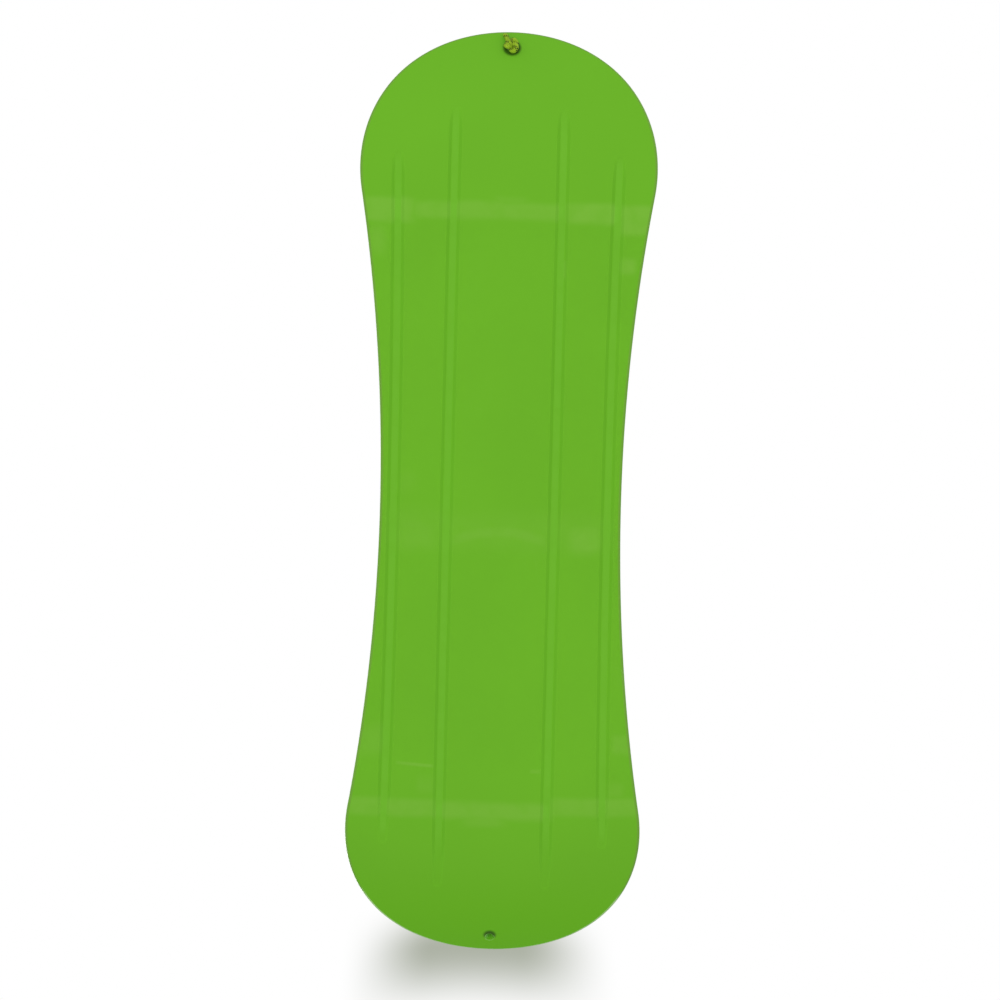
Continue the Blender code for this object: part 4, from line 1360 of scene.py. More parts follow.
@dataclass(frozen=True)
class StrapArch:
    """Where a strap stands in its binding, its size, and the arch that it follows over the boot."""

    kind: str
    along: float
    height: float
    lean: float  # degrees
    rise: float
    width: float
    barrel: float
    half_span: float = 52.3 * MM
    foot: float = 6.8 * MM  # over the hinge pin, to where the strap begins to curve
    ear: float = 4 * MM

    @property
    def frame(self) -> Matrix:
        """The strap's own frame in its binding: its hinge pins lie along Y."""
        turn = Matrix.Rotation(math.radians(self.lean), 4, "X")
        return Matrix.Translation((0, self.along, self.height)) @ turn

    @property
    def ear_half(self) -> float:
        """Half the hinge pin's reach, over both ears."""
        return self.barrel / 2 + TOUCH + self.ear

    def point(self, angle: float, offset: float, across: float = 0.0, drop: float = 0.0) -> Vector:
        """Works out a point of the arch, in the strap's frame.

        Args:
            angle: Degrees round the arch from the hinge.
            offset: The distance outwards from the strap's middle line.
            across: The distance across the strap.
            drop: How far below the arch's end the point stands.

        Returns:
            The point.
        """
        turn = math.radians(angle)
        cosine, sine = math.cos(turn), math.sin(turn)
        outward = Vector((-self.rise * cosine, 0, self.half_span * sine)).normalized()
        place = Vector((-self.half_span * cosine, across, self.foot + self.rise * sine - drop))
        return place + outward * offset

    def length(self, first: float, last: float) -> float:
        """Returns the length of the arch between two angles."""
        return measured([self.point(first + (last - first) * i / 40, 0) for i in range(41)])[-1]


ANKLE = StrapArch("ankle", 36 * MM, 42 * MM, 30.0, 60 * MM, 36 * MM, 24 * MM)
TOE = StrapArch("toe", -58 * MM, 24 * MM, 10.0, 31 * MM, 30 * MM, 20 * MM)


def rounded_share(share: float, power: float) -> Pair:
    """Goes round a square with round corners, whose sides lie from -1 to 1.

    Args:
        share: The share of the way round.
        power: How square it is: 2 for a circle.

    Returns:
        The point there.
    """
    turn = math.tau * share
    cosine, sine = math.cos(turn), math.sin(turn)
    return (math.copysign(abs(cosine) ** (2 / power), cosine), math.copysign(abs(sine) ** (2 / power), sine))


def measured(points: list[Vector]) -> list[float]:
    """Measures a line of points.

    Args:
        points: The points.

    Returns:
        The distance along the line to each of them.
    """
    lengths = [0.0]
    for a, b in zip(points, points[1:]):
        lengths.append(lengths[-1] + (b - a).length)
    return lengths


def swept(along: int, around: int, place: Callable[[float, float], Vector]) -> Mesh:
    """Bends a flat grid into a closed bar.

    Args:
        along: The faces along the bar.
        around: The faces round it.
        place: Gives a point for a share of the way along and a share of the way round.

    Returns:
        The closed shape, with a UV map in metres.
    """
    bm = bmesh.new()
    uv = bm.loops.layers.uv.new("UVMap")
    bmesh.ops.create_grid(bm, x_segments=along, y_segments=around, size=0.5)
    runs = measured([place(i / along, 0.25) for i in range(along + 1)])
    girths = measured([place(0.5, i / around) for i in range(around + 1)])
    for face in bm.faces:
        for loop in face.loops:
            flat = loop.vert.co
            loop[uv].uv = (runs[round((flat.x + 0.5) * along)], girths[round((flat.y + 0.5) * around)])
    for vertex in bm.verts:
        vertex.co = place(vertex.co.x + 0.5, vertex.co.y + 0.5)
    bmesh.ops.remove_doubles(bm, verts=bm.verts, dist=0.002 * MM)
    bmesh.ops.holes_fill(bm, edges=[e for e in bm.edges if e.is_boundary], sides=0)
    return outward(bm)


@dataclass
class Strap:
    """The moving half of a strap: webbing that loops round its hinge pin and arches over the boot."""

    arch: StrapArch
    thickness: float = 3 * MM
    last: float = 150.0  # degrees
    taper: float = 15.0  # degrees over which its free end narrows
    taper_share: float = 0.45  # of its width that the free end loses
    widening: Pair = (9.35 * MM, 17.6 * MM)  # the heights between which it widens from its loop
    pin: float = 2.3 * MM
    barrel: float = 4.5 * MM
    cap: float = 0.7 * MM  # the moulded tip's height over the webbing
    cap_arc: float = 13.0  # degrees that it reaches over the webbing
    cap_end: float = 1.6  # degrees that it reaches past the webbing
    cap_side: float = 0.5 * MM
    cap_ribs: int = 4
    foot_share: float = 0.04  # of the webbing's length, below the arch
    pitch: float = 3.3 * MM  # of the stitches
    stitch: Triple = (1.25 * MM, 0.38 * MM, 0.3 * MM)  # half its length, width and height
    seam_inset: float = 3 * MM
    seam_first: float = 14.0  # degrees
    seam_box: float = 13.0  # degrees along the box by the hinge
    seam_gap: float = 3.0  # degrees, before the tip

    def half(self, angle: float) -> float:
        """Works out the webbing's width, which is narrow at its loop and at its free end.

        Args:
            angle: Degrees round the arch.

        Returns:
            Half its width there.
        """
        height = self.arch.point(min(angle, 90), 0).z
        wide = smooth_step(height, *self.widening)
        half = (self.arch.barrel + (self.arch.width - self.arch.barrel) * wide) / 2
        return half * (1 - self.taper_share * smooth_step(angle, self.last - self.taper, self.last))

    def body(self) -> Mesh:
        """Makes the webbing with its loop round the pin.

        Returns:
            The closed shapes.
        """
        root = (self.pin + self.barrel) / 2
        foot = self.arch.foot - root

        def place(along: float, around: float) -> Vector:
            """Works out the webbing's skin.

            Args:
                along: The share of the way along it.
                around: The share of the way round it.

            Returns:
                The point there.
            """
            across, up = rounded_share(around, 9.0)
            angle = max(0.0, along - self.foot_share) / (1 - self.foot_share) * self.last
            drop = foot * max(0.0, 1 - along / self.foot_share)
            return self.arch.point(angle, up * self.thickness / 2, across * self.half(angle), drop)

        band = swept(125, 32, place)
        wall = (self.barrel - self.pin) / 2

        def loop(along: float, around: float) -> Vector:
            """Works out the loop's skin.

            Args:
                along: The share of the way round the pin.
                around: The share of the way round its section.

            Returns:
                The point there.
            """
            across, out = rounded_share(around, 9.0)
            turn = math.radians(-90 + 359.5 * along)
            reach = (self.barrel + self.pin) / 2 + out * wall
            middle = Vector((-self.arch.half_span, across * self.arch.barrel / 2, 0))
            return middle + Vector((reach * math.cos(turn), 0, reach * math.sin(turn)))

        return gathered([band, swept(40, 24, loop)])

    def tip(self) -> Mesh:
        """Makes the moulded tip that the fingers pull, with its grip ribs.

        Returns:
            The closed shape.
        """
        first = self.last - self.cap_arc

        def place(along: float, around: float) -> Vector:
            """Works out the tip's skin.

            Args:
                along: The share of the way along it.
                around: The share of the way round it.

            Returns:
                The point there.
            """
            across, up = rounded_share(around, 6.0)
            angle = first + (self.last + self.cap_end - first) * along
            ribs = 0.5 + 0.5 * math.cos(math.tau * self.cap_ribs * along)
            high = self.thickness / 2 + self.cap * (0.55 + 0.45 * ribs) * min(1.0, 8 * along + 0.3)
            low = -self.thickness / 2 + 0.05 * MM
            offset = (high + low) / 2 + up * (high - low) / 2
            return self.arch.point(angle, offset, across * (self.half(min(angle, self.last)) + self.cap_side))

        return swept(36, 28, place)

    def seams(self) -> Mesh:
        """Sews a row along each edge, a box by the hinge and a bar before the tip.

        Returns:
            The stitches.
        """
        bm = bmesh.new()
        first, last = self.seam_first, self.last - self.cap_arc - self.seam_gap
        count = round(self.arch.length(first, last) / self.pitch)
        places = []
        for i in range(count):
            angle = first + (last - first) * (i + 0.5) / count
            for side in (1, -1):
                places.append((angle, side * (self.half(angle) - self.seam_inset), False))
        for angle in (first + self.seam_box, first, last):
            rows = round(1.6 * self.half(angle) / self.pitch)
            places += [(angle, (2 * j / (rows - 1) - 1) * 0.72 * self.half(angle), True) for j in range(rows)]
        for angle, across, crosswise in places:
            place = self.arch.point(angle, self.thickness / 2, across)
            ahead = (self.arch.point(angle + 0.5, self.thickness / 2, across) - place).normalized()
            beside = Vector((0, 1, 0))
            long, wide = (beside, ahead) if crosswise else (ahead, beside)
            turn = Matrix((long, wide, long.cross(wide))).transposed().to_4x4()
            where = Matrix.Translation(place) @ turn @ Matrix.Diagonal((*self.stitch, 1))
            bmesh.ops.create_icosphere(bm, subdivisions=1, radius=1, matrix=where)
        return bm


@dataclass
class StrapTab:
    """The fixed half of a strap: riveted to the outer wall, it runs up under the strap's free end."""

    arch: StrapArch
    thickness: float = 2.7 * MM
    pile: float = 1 * MM  # the thickness of its loop face, half of it in the webbing
    first: float = 112.5  # degrees
    tail: float = 12 * MM  # below the hinge's height
    widening: float = 14 * MM  # along it, to where it has its full width
    narrowing: float = 6 * MM  # past its tail, to where it would have half its width
    rounding: float = 5 * MM  # along it, to where its first end is no longer round

    def body(self, inner: float, outer: float, last_share: float, narrow: float) -> Mesh:
        """Makes a stretch of the tab.

        Args:
            inner: The offset of its inner face from the strap's middle line.
            outer: The offset of its outer face.
            last_share: How far along the tab the stretch reaches, as a share.
            narrow: Its width as a share of the tab's.

        Returns:
            The closed shape.
        """
        curved = self.arch.length(self.first, 180)
        whole = curved + self.arch.foot + self.tail

        def place(along: float, around: float) -> Vector:
            """Works out the tab's skin.

            Args:
                along: The share of the way along it.
                around: The share of the way round it.

            Returns:
                The point there.
            """
            across, up = rounded_share(around, 8.0)
            run = along * last_share * whole
            angle = min(180.0, self.first + (180 - self.first) * run / curved)
            drop = max(0.0, run - curved)
            wide = 0.55 + 0.45 * smooth_step(run, 0, self.widening)
            wide *= 1 - 0.5 * smooth_step(run, curved + self.arch.foot, whole + self.narrowing)
            end = math.sqrt(max(0.0, 1 - max(0.0, 1 - run / self.rounding) ** 2.4))
            half = narrow * self.arch.width / 2 * wide * (0.5 + 0.5 * end)
            return self.arch.point(angle, (inner + outer) / 2 + up * (outer - inner) / 2, across * half, drop)

        return swept(70, 28, place)


@dataclass
class AnklePad:
    """The cushion under an ankle strap: crowned, drawn in at its ends and sewn across in channels."""

    arch: StrapArch
    deep: float = 7 * MM
    width: float = 50 * MM
    first: float = 30.0  # degrees
    last: float = 105.0
    channels: tuple[float, ...] = (0.22, 0.41, 0.6, 0.79)  # shares of its length
    channel_half: float = 0.016
    cord: float = 0.9 * MM  # the piping's radius

    def section(self, along: float, around: float) -> Triple:
        """Works out a point of the cushion's skin.

        Args:
            along: The share of the way along the cushion.
            around: The share of the way round it.

        Returns:
            Its angle, its offset and its distance across, for the arch.
        """
        fullness = math.sin(math.pi * (0.12 + 0.76 * along)) ** 0.5
        end = math.sqrt(max(0.0, 1 - (max(0.0, abs(2 * along - 1) - 0.9) / 0.1) ** 2))
        dip = max(math.exp(-(((along - place) / self.channel_half) ** 2)) for place in self.channels)
        turn = math.tau * around
        cosine, sine = math.cos(turn), math.sin(turn)
        across = math.copysign(abs(cosine) ** 0.62, cosine)
        power, bulge = (0.4, 0.44) if sine > 0 else (0.72, 0.56)
        inward = 0.44 - math.copysign(abs(sine) ** power, sine) * bulge
        depth = self.deep * fullness * (0.35 + 0.65 * end) * (1 - 0.3 * dip)
        half = self.width / 2 * (0.55 + 0.45 * fullness) * (0.45 + 0.55 * end) * (1 - 0.035 * dip)
        offset = -Strap.thickness / 2 - TOUCH - (0.1 * dip + inward) * depth
        return self.first + (self.last - self.first) * along, offset, across * half

    def body(self) -> Mesh:
        """Returns the cushion."""
        return swept(150, 40, lambda s, r: self.arch.point(*self.section(s, r)))

    def piping(self) -> Mesh:
        """Makes the corded seam round the cushion's widest line.

        Returns:
            The closed shape.
        """

        def rim(share: float) -> Vector:
            """Works out the seam's line.

            Args:
                share: The share of the way round the cushion.

            Returns:
                The point there.
            """
            going = share < 0.5
            along = 2 * share if going else 2 - 2 * share
            along = 0.004 + 0.992 * (0.5 - 0.5 * math.cos(math.pi * along))
            return self.arch.point(*self.section(along, 0.0 if going else 0.5))

        def place(along: float, around: float) -> Vector:
            """Works out the skin of the cord in the seam.

            Args:
                along: The share of the way along it.
                around: The share of the way round it.

            Returns:
                The point there.
            """
            here, ahead = rim(along % 1.0), rim((along + 0.003) % 1.0)
            forward = (ahead - here).normalized()
            side = forward.cross(Vector((0.3, 0.2, 1))).normalized()
            turn = math.tau * around
            return here + self.cord * (side * math.cos(turn) + forward.cross(side) * math.sin(turn))

        return swept(200, 10, place)


# Bindings.


class Drive(Enum):
    """What a screw's head is cut for."""

    CROSS = "cross"
    HEX = "hex"
    PLAIN = "plain"


@dataclass(frozen=True)
class Fastener:
    """A pin with a domed head at each end, along Z, which holds two faces together."""

    radius: float
    head_radius: float
    head: float
    inner: float
    outer: float
    drive: Drive = Drive.PLAIN

    def body(self) -> Mesh:
        """Makes the fastener.

        Returns:
            The closed shape.
        """
        low, high = self.inner - TOUCH, self.outer + TOUCH
        wide, tall = self.head_radius, self.head
        dome = [(wide, 0), (wide, 0.35 * tall), (0.96 * wide, 0.55 * tall), (0.8 * wide, 0.8 * tall),
                (0.5 * wide, 0.95 * tall), (0, tall)]
        profile = [(r, low - h) for r, h in reversed(dome)] + [(self.radius, low), (self.radius, high)]
        pin = turned(profile + [(r, high + h) for r, h in dome], 32)
        top = high + tall
        if self.drive is Drive.HEX:
            low, half = top - 0.55 * tall, 0.5 * wide
            return carved(pin, turned([(0, low), (half, low), (half, top + MM), (0, top + MM)], 6))
        if self.drive is Drive.CROSS:
            for turn in (0.0, math.pi / 2):
                place = Matrix.Translation((0, 0, top)) @ Matrix.Rotation(turn, 4, "Z")
                pin = carved(pin, block(place, (1.15 * wide, 0.26 * wide, 1.1 * tall)))
        return pin


@dataclass(frozen=True)
class BindingDress:
    """The finishes that both bindings share."""

    shell: Material
    disc: Material
    foam: Material
    webbing: Material
    pile: Material
    rubber: Material
    padding: Material
    piping: Material
    thread: Material
    steel: Material
    brass: Material


@dataclass
class Binding:
    """A strap binding: baseplate, mounting disc, footbed, heel hoop, two hinged straps and fasteners."""

    label: str
    position: float
    side: int  # 1 for the front binding, and -1 for the rear one, which is mirrored
    deck: float
    dress: BindingDress
    half_inside: float = 44 * MM
    half_outside: float = 47.5 * MM
    heel_centre: float = 58 * MM
    hoop: float = 3.5 * MM
    hoop_front: float = 26 * MM
    hoop_end: float = 10 * MM  # over which each end is rounded
    hoop_rim: float = 0.5 * MM
    hoop_arm: Pair = (5 * MM, 25 * MM)  # its low and high edge
    hoop_back: Pair = (12 * MM, 66 * MM)
    post_places: Pair = (34 * MM, 49 * MM)
    post_height: float = 15 * MM
    rivet_drop: float = 6.5 * MM
    rib: float = 1.6 * MM
    rib_pitch: float = 8 * MM
    rib_reach: float = 80 * MM  # from the middle, along the foot
    rib_side: float = 8 * MM  # from the baseplate's walls
    footbed_top: float = 9.6 * MM

    @property
    def place(self) -> Matrix:
        """The binding's frame in the board's."""
        return Matrix.Translation((self.position, 0, self.deck)) @ Matrix.Diagonal((self.side, 1, 1, 1))

    def add(
        self, name: str, bm: Mesh, dress: Material, body: str, slot: str,
        nodes: tuple[str, ...] = (), rounding: float | None = None, local: Matrix | None = None,
    ) -> Piece:
        """Turns a shape in the binding's frame into a piece of the object.

        Args:
            name: The piece's name, without the binding's.
            bm: The shape.
            dress: Its finish.
            body: The CAD body that it rides on.
            slot: The record's material slot. It is not used.
            nodes: The CAD nodes that it stands for, without the binding's name.
            rounding: The reach of its rounded edges, where it is a hard piece.
            local: The shape's frame in the binding's, or None where it is drawn in the board's.

        Returns:
            The piece.
        """
        if local is not None:
            outward(placed(bm, self.place @ local))
        piece = publish(f"{self.label}_{name}", bm, [dress])
        if rounding is not None:
            soften(piece, 35, rounding)
        if nodes:
            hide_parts(*(f"{self.label}_{node}" for node in nodes))
        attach(piece, body)
        log.info("%s: %d faces", piece.name, len(piece.data.polygons))
        return piece

    def carried(self, node: str) -> Mesh:
        """Copies a CAD node's mesh, with its loose triangles merged into flat faces.

        Args:
            node: The node's name, without the binding's.

        Returns:
            The copy.
        """
        bm = bmesh.new()
        bm.from_mesh(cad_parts[f"{self.label}_{node}"].data)
        bmesh.ops.remove_doubles(bm, verts=bm.verts, dist=0.005 * MM)
        bmesh.ops.dissolve_limit(
            bm, angle_limit=math.radians(1.5), use_dissolve_boundaries=False, verts=bm.verts, edges=bm.edges
        )
        return bm

    def heel_hoop(self) -> Mesh:
        """Makes the band that runs back from the side walls and rises round the heel, with a thick rim.

        Returns:
            The closed shape.
        """
        inner = self.half_outside + TOUCH
        arm = self.heel_centre - self.hoop_front
        bend = math.pi * (inner + self.hoop / 2)
        whole = 2 * arm + bend

        def place(along: float, around: float) -> Vector:
            """Works out the hoop's skin.

            Args:
                along: The share of the way along it.
                around: The share of the way round it.

            Returns:
                The point there.
            """
            run = along * whole
            turn = min(math.pi, max(0.0, (run - arm) / bend * math.pi))
            back = self.heel_centre - max(0.0, arm - run) - max(0.0, run - arm - bend)
            rise = math.sin(turn) ** 2
            low = self.hoop_arm[0] + (self.hoop_back[0] - self.hoop_arm[0]) * rise
            high = self.hoop_arm[1] + (self.hoop_back[1] - self.hoop_arm[1]) * rise
            end = min(run, whole - run) / self.hoop_end
            tall = math.sqrt(max(0.0, 1 - max(0.0, 1 - end) ** 2)) * 0.45 + 0.55
            out, up = rounded_share(around, 7.0)
            centre, half = (low + high) / 2, (high - low) / 2 * tall
            rim = self.hoop_rim * smooth_step(abs(up), 0.72, 0.82) if out > 0 else 0.0
            reach = inner + self.hoop / 2 + out * self.hoop / 2 + rim
            return Vector((reach * math.cos(turn), back + reach * math.sin(turn), centre + up * half))

        return swept(130, 64, place)

    def ribbed_footbed(self) -> Mesh:
        """Cuts a row of cross grooves into the footbed.

        Returns:
            The footbed.
        """
        size = (2 * (self.half_inside - self.rib_side), self.rib, self.rib)
        most = math.ceil(self.rib_reach / self.rib_pitch) - 1
        bars = []
        for i in range(-most, most + 1):
            where = Matrix.Translation((0, i * self.rib_pitch, self.footbed_top))
            bars.append(block(self.place @ where, size))
        return carved(self.carried("footbed"), outward(gathered(bars)))

    def fasteners(self) -> None:
        """Makes the hoop's screws, the straps' hinge pins and the tabs' rivets."""
        sideways = Matrix.Rotation(math.pi / 2, 4, "Y")
        wall, skin = self.half_inside, self.half_outside + TOUCH
        bolt = Fastener(2.5 * MM, 5 * MM, 1.6 * MM, wall, skin + self.hoop, Drive.CROSS)
        rivet = Fastener(2 * MM, 3.6 * MM, 1.5 * MM, wall, skin + StrapTab.thickness, Drive.HEX)
        found = []
        for side in (1, -1):
            for along in self.post_places:
                number = len(found) + 1
                where = Matrix.Diagonal((side, 1, 1, 1)) @ Matrix.Translation((0, along, self.post_height))
                found.append((f"hoop_bolt_{number}", f"hoop_screw_{number}", bolt, where @ sideways))
        for arch in (ANKLE, TOE):
            pin = Fastener(2 * MM, 3.4 * MM, 1.2 * MM, -arch.ear_half, arch.ear_half)
            lying = Matrix.Translation((-arch.half_span, 0, 0)) @ Matrix.Rotation(math.pi / 2, 4, "X")
            found.append((f"{arch.kind}_hinge_pin", f"{arch.kind}_pin", pin, arch.frame @ lying))
            where = Matrix.Translation(arch.frame @ Vector((0, 0, -self.rivet_drop)))
            found.append((f"{arch.kind}_tab_rivet", f"{arch.kind}_rivet", rivet, where @ sideways))
        for name, node, fastener, local in found:
            self.add(name, fastener.body(), self.dress.steel, "board", "steel", (node,), 0.1 * MM, local)

    def strap_set(self, arch: StrapArch) -> None:
        """Makes one strap with its tip, its stitches, its tab and, at the ankle, its cushion.

        Args:
            arch: Where it stands, and its arch.
        """
        body = f"{self.label}_{arch.kind}_strap"
        strap, tab = Strap(arch), StrapTab(arch)
        outer = -strap.thickness / 2 - TOUCH
        webbing = tab.body(outer - tab.thickness, outer - tab.pile / 2, 1.0, 1.0)
        for name, shape, dress, ridden, nodes in (
            ("webbing", strap.body(), self.dress.webbing, body, (f"{arch.kind}_strap",)),
            ("strap_tip", strap.tip(), self.dress.rubber, body, ()),
            ("strap_seams", strap.seams(), self.dress.thread, body, ()),
            ("tab_webbing", webbing, self.dress.webbing, "board", (f"{arch.kind}_tab",)),
            ("tab_pile", tab.body(outer - tab.pile, outer, 0.62, 0.9), self.dress.pile, "board", ()),
        ):
            self.add(f"{arch.kind}_{name}", shape, dress, ridden, "webbing", nodes, local=arch.frame)
        if arch is ANKLE:
            pad = AnklePad(arch)
            cushion = self.add("ankle_cushion", pad.body(), self.dress.padding, body, "padding",
                               ("ankle_pad",), local=arch.frame)
            self.add("ankle_cushion_piping", pad.piping(), self.dress.piping, body, "padding",
                     local=arch.frame)

    def build(self) -> None:
        """Makes the binding."""
        plate, disc = self.carried("baseplate"), self.carried("mounting_disc")
        for node, kind, shape, dress, slot, rounding in (
            ("baseplate", "moulding", plate, self.dress.shell, "binding_plastic", 0.5),
            ("mounting_disc", "moulding", disc, self.dress.disc, "disc_plastic", 0.3),
            ("footbed", "foam", self.ribbed_footbed(), self.dress.foam, "footbed_foam", 0.3),
        ):
            self.add(f"{node}_{kind}", shape, dress, "board", slot, (node,), rounding * MM)
        self.add("heel_loop", self.heel_hoop(), self.dress.shell, "board", "binding_plastic", ("heel_hoop",),
                 local=Matrix.Identity(4))
        self.fasteners()
        for arch in (ANKLE, TOE):
            self.strap_set(arch)
        for number in range(1, 5):
            for kind, metal in (("disc_screw", self.dress.steel), ("insert", self.dress.brass)):
                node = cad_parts[f"{self.label}_{kind}_{number}"]
                node.data.materials.clear()
                node.data.materials.append(metal)


# Tow rope.


@dataclass
class TowRope:
    """The rope that is knotted under the nose hole, runs down the deck and ends in a tied coil."""

    board: Board
    radius: float = 2.5 * MM
    coil_radius: float = 28 * MM
    coil_turns: float = 2.5
    coil_pitch: float = 5.6 * MM
    coil_layer: float = 5.45 * MM
    coil_centre: float = 218 * MM
    band: float = 1 * MM
    band_width: float = 8 * MM
    band_room: float = 0.9 * MM
    lead_start: float = 0.8 * MM
    knot_scale: float = 2.05 * MM
    knot_swell: float = 1.9 * MM
    knot_open: float = 0.06  # of a turn, left out at each end of its line
    knot_squeeze: float = 0.94  # of the rope's radius, where it is drawn tight
    knot_turn: float = -30.0  # degrees that the nose knot's tail lies towards the toe edge
    tail_reach: float = 16.2 * MM
    spacing: float = 2 * MM  # between the points of the rope's line
    knot_spacing: float = 0.8 * MM
    melted: tuple[float, ...] = (0.55, 0.85, 0.97)  # of the radius, from a melted end inwards

    def coil_points(self, loop_points: int = 36) -> list[Vector]:
        """Lays the coil: in along the bottom layer, up a layer, and out on top.

        Args:
            loop_points: The points in a full turn.

        Returns:
            Its line.
        """
        first_height = self.board.thickness + TOUCH + self.band + TOUCH + self.radius
        outer = self.coil_radius + self.coil_turns * self.coil_pitch / 2
        count = round((2 * self.coil_turns + 0.5) * loop_points)
        centre = Vector((self.coil_centre, 0, 0))
        points = [centre + Vector((2 * self.radius, outer, first_height))]
        for i in range(count + 1):
            turns = i / loop_points
            inward = turns if turns < self.coil_turns else 2 * self.coil_turns - turns
            radius = outer - self.coil_pitch * inward
            rise = smooth_step(turns, self.coil_turns - 0.25, self.coil_turns + 0.25)
            angle = math.pi / 2 + math.tau * turns
            height = first_height + self.coil_layer * rise
            points.append(centre + Vector((radius * math.cos(angle), radius * math.sin(angle), height)))
        points.append(points[-1] + Vector((2 * self.radius, 0, 0)))
        return points

    def lead_points(self, coil_start: Vector) -> list[Vector]:
        """Lays the rope from the nose hole, over a low hump and down the deck to the coil.

        Args:
            coil_start: Where the coil begins.

        Returns:
            Its line.
        """
        hole, top = self.board.hole_place, self.board.thickness
        lying = top + 2 * TOUCH + self.radius
        steps = (
            (0, 0, self.lead_start), (0, 0, top / 2), (0, 0, top), (2 * MM, 0, top + 7 * MM),
            (10 * MM, 1 * MM, top + 12 * MM), (22 * MM, 4 * MM, top + 8 * MM),
            (34 * MM, 7 * MM, lying + 1.4 * MM), (47 * MM, 9 * MM, lying + 0.1 * MM),
            (64 * MM, 8 * MM, lying), (88 * MM, 2 * MM, lying), (114 * MM, -4 * MM, lying),
            (140 * MM, 2 * MM, lying), (164 * MM, 16 * MM, lying), (188 * MM, 28 * MM, lying),
        )
        points = [self.board.bent((hole - back, across, up)) for back, across, up in steps]
        points.append(coil_start + Vector((18 * MM, -0.8 * MM, -0.4 * MM)))
        return points

    def end_points(self, coil_end: Vector) -> list[Vector]:
        """Lays the rope from the top of the coil to the knot that stands on the deck.

        Args:
            coil_end: Where the coil ends.

        Returns:
            Its line.
        """
        half_knot = 3 * self.knot_scale + self.radius
        drop = coil_end.z - (self.board.thickness + TOUCH + half_knot)
        steps = ((5 * MM, 0, 0.05), (14 * MM, 0.8 * MM, 0.9), (24 * MM, 1 * MM, 1))
        return [coil_end + Vector((along, -side, -share * drop)) for along, side, share in steps]

    def even(self, points: list[Vector], spacing: float) -> list[Vector]:
        """Spaces points evenly on the smooth line through the given ones.

        Args:
            points: The given points.
            spacing: About how far apart the new ones lie.

        Returns:
            The new points.
        """
        fine = []
        for i in range(len(points) - 1):
            a, b, c, d = (points[min(max(j, 0), len(points) - 1)] for j in (i - 1, i, i + 1, i + 2))
            for step in range(16):
                s = step / 16
                fine.append(0.5 * (
                    2 * b + (c - a) * s + (2 * a - 5 * b + 4 * c - d) * s**2 + (3 * b - a - 3 * c + d) * s**3
                ))
        fine.append(points[-1])
        lengths = measured(fine)
        count = max(2, round(lengths[-1] / spacing))
        route, place = [], 0
        for i in range(count + 1):
            wanted = lengths[-1] * i / count
            while place < len(fine) - 2 and lengths[place + 1] < wanted:
                place += 1
            span = lengths[place + 1] - lengths[place]
            route.append(fine[place].lerp(fine[place + 1], (wanted - lengths[place]) / span))
        return route

    def cord(self, name: str, points: list[Vector], radius: float, sealed: bool) -> Piece:
        """Makes a round cord.

        Args:
            name: The piece's name.
            points: Its line, evenly spaced.
            radius: Half its thickness.
            sealed: Whether its end is melted round.

        Returns:
            The cord, a curve with one spline.
        """
        curve = bpy.data.curves.new(name, "CURVE")
        curve.dimensions = "3D"
        curve.bevel_depth = radius
        curve.bevel_resolution = 5
        curve.use_fill_caps = True
        line = curve.splines.new("POLY")
        line.points.add(len(points) - 1)
        for place, point in zip(line.points, points):
            place.co = (*point, 1)
        if sealed:
            for i, share in enumerate(self.melted, 1):
                line.points[-i].radius = share
        return shown(name, curve)

    def knot(self, name: str, place: Matrix) -> Piece:
        """Makes an overhand knot, drawn tight. The rope arrives along Z, and its tail leaves along X.

        Args:
            name: The piece's name.
            place: The knot's frame.

        Returns:
            The knot, a curve.
        """
        points = []
        for i in range(33):
            turn = math.tau * (self.knot_open + (1 - 2 * self.knot_open) * i / 32)
            points.append(Vector((
                self.knot_scale * (math.cos(turn) - 2 * math.cos(2 * turn)),
                self.knot_scale * (math.sin(turn) + 2 * math.sin(2 * turn)),
                self.knot_swell * math.sin(3 * turn),
            )))
        drop = Vector((0, 0, -self.knot_swell - self.radius - TOUCH))
        body = [point + drop for point in points]
        stub = [Vector((0, 0, self.lead_start - 0.2 * MM)), Vector((-0.5 * MM, 0, -2 * MM))]
        tail_height = -self.radius - 2 * TOUCH
        tail = [Vector((0.62 * self.tail_reach, 0, tail_height - 0.5 * MM)),
                Vector((self.tail_reach, 0, tail_height))]
        route = self.even(stub + body[1:-1] + tail, self.knot_spacing)
        knot = self.cord(name, [place @ point for point in route], self.knot_squeeze * self.radius, True)
        knot.data.materials.append(BraidedRope(f"{name}_braid", length=measured(route)[-1]).material())
        return knot

    def tie(self, dress: Material) -> Piece:
        """Makes the strip that ties the coil, with its free end lapped over its start on top.

        Args:
            dress: Its finish.

        Returns:
            The strip.
        """
        outer = self.coil_radius + self.coil_turns * self.coil_pitch / 2
        near = outer - (self.coil_turns - 0.25) * self.coil_pitch - self.radius - self.band_room
        far = outer - 0.25 * self.coil_pitch + self.radius + self.band_room
        low = self.board.thickness + TOUCH + self.band
        high = low + 2 * TOUCH + 2 * self.radius + self.coil_layer
        start, whole, lap = 62.0, 416.0, 56.0  # degrees round the window

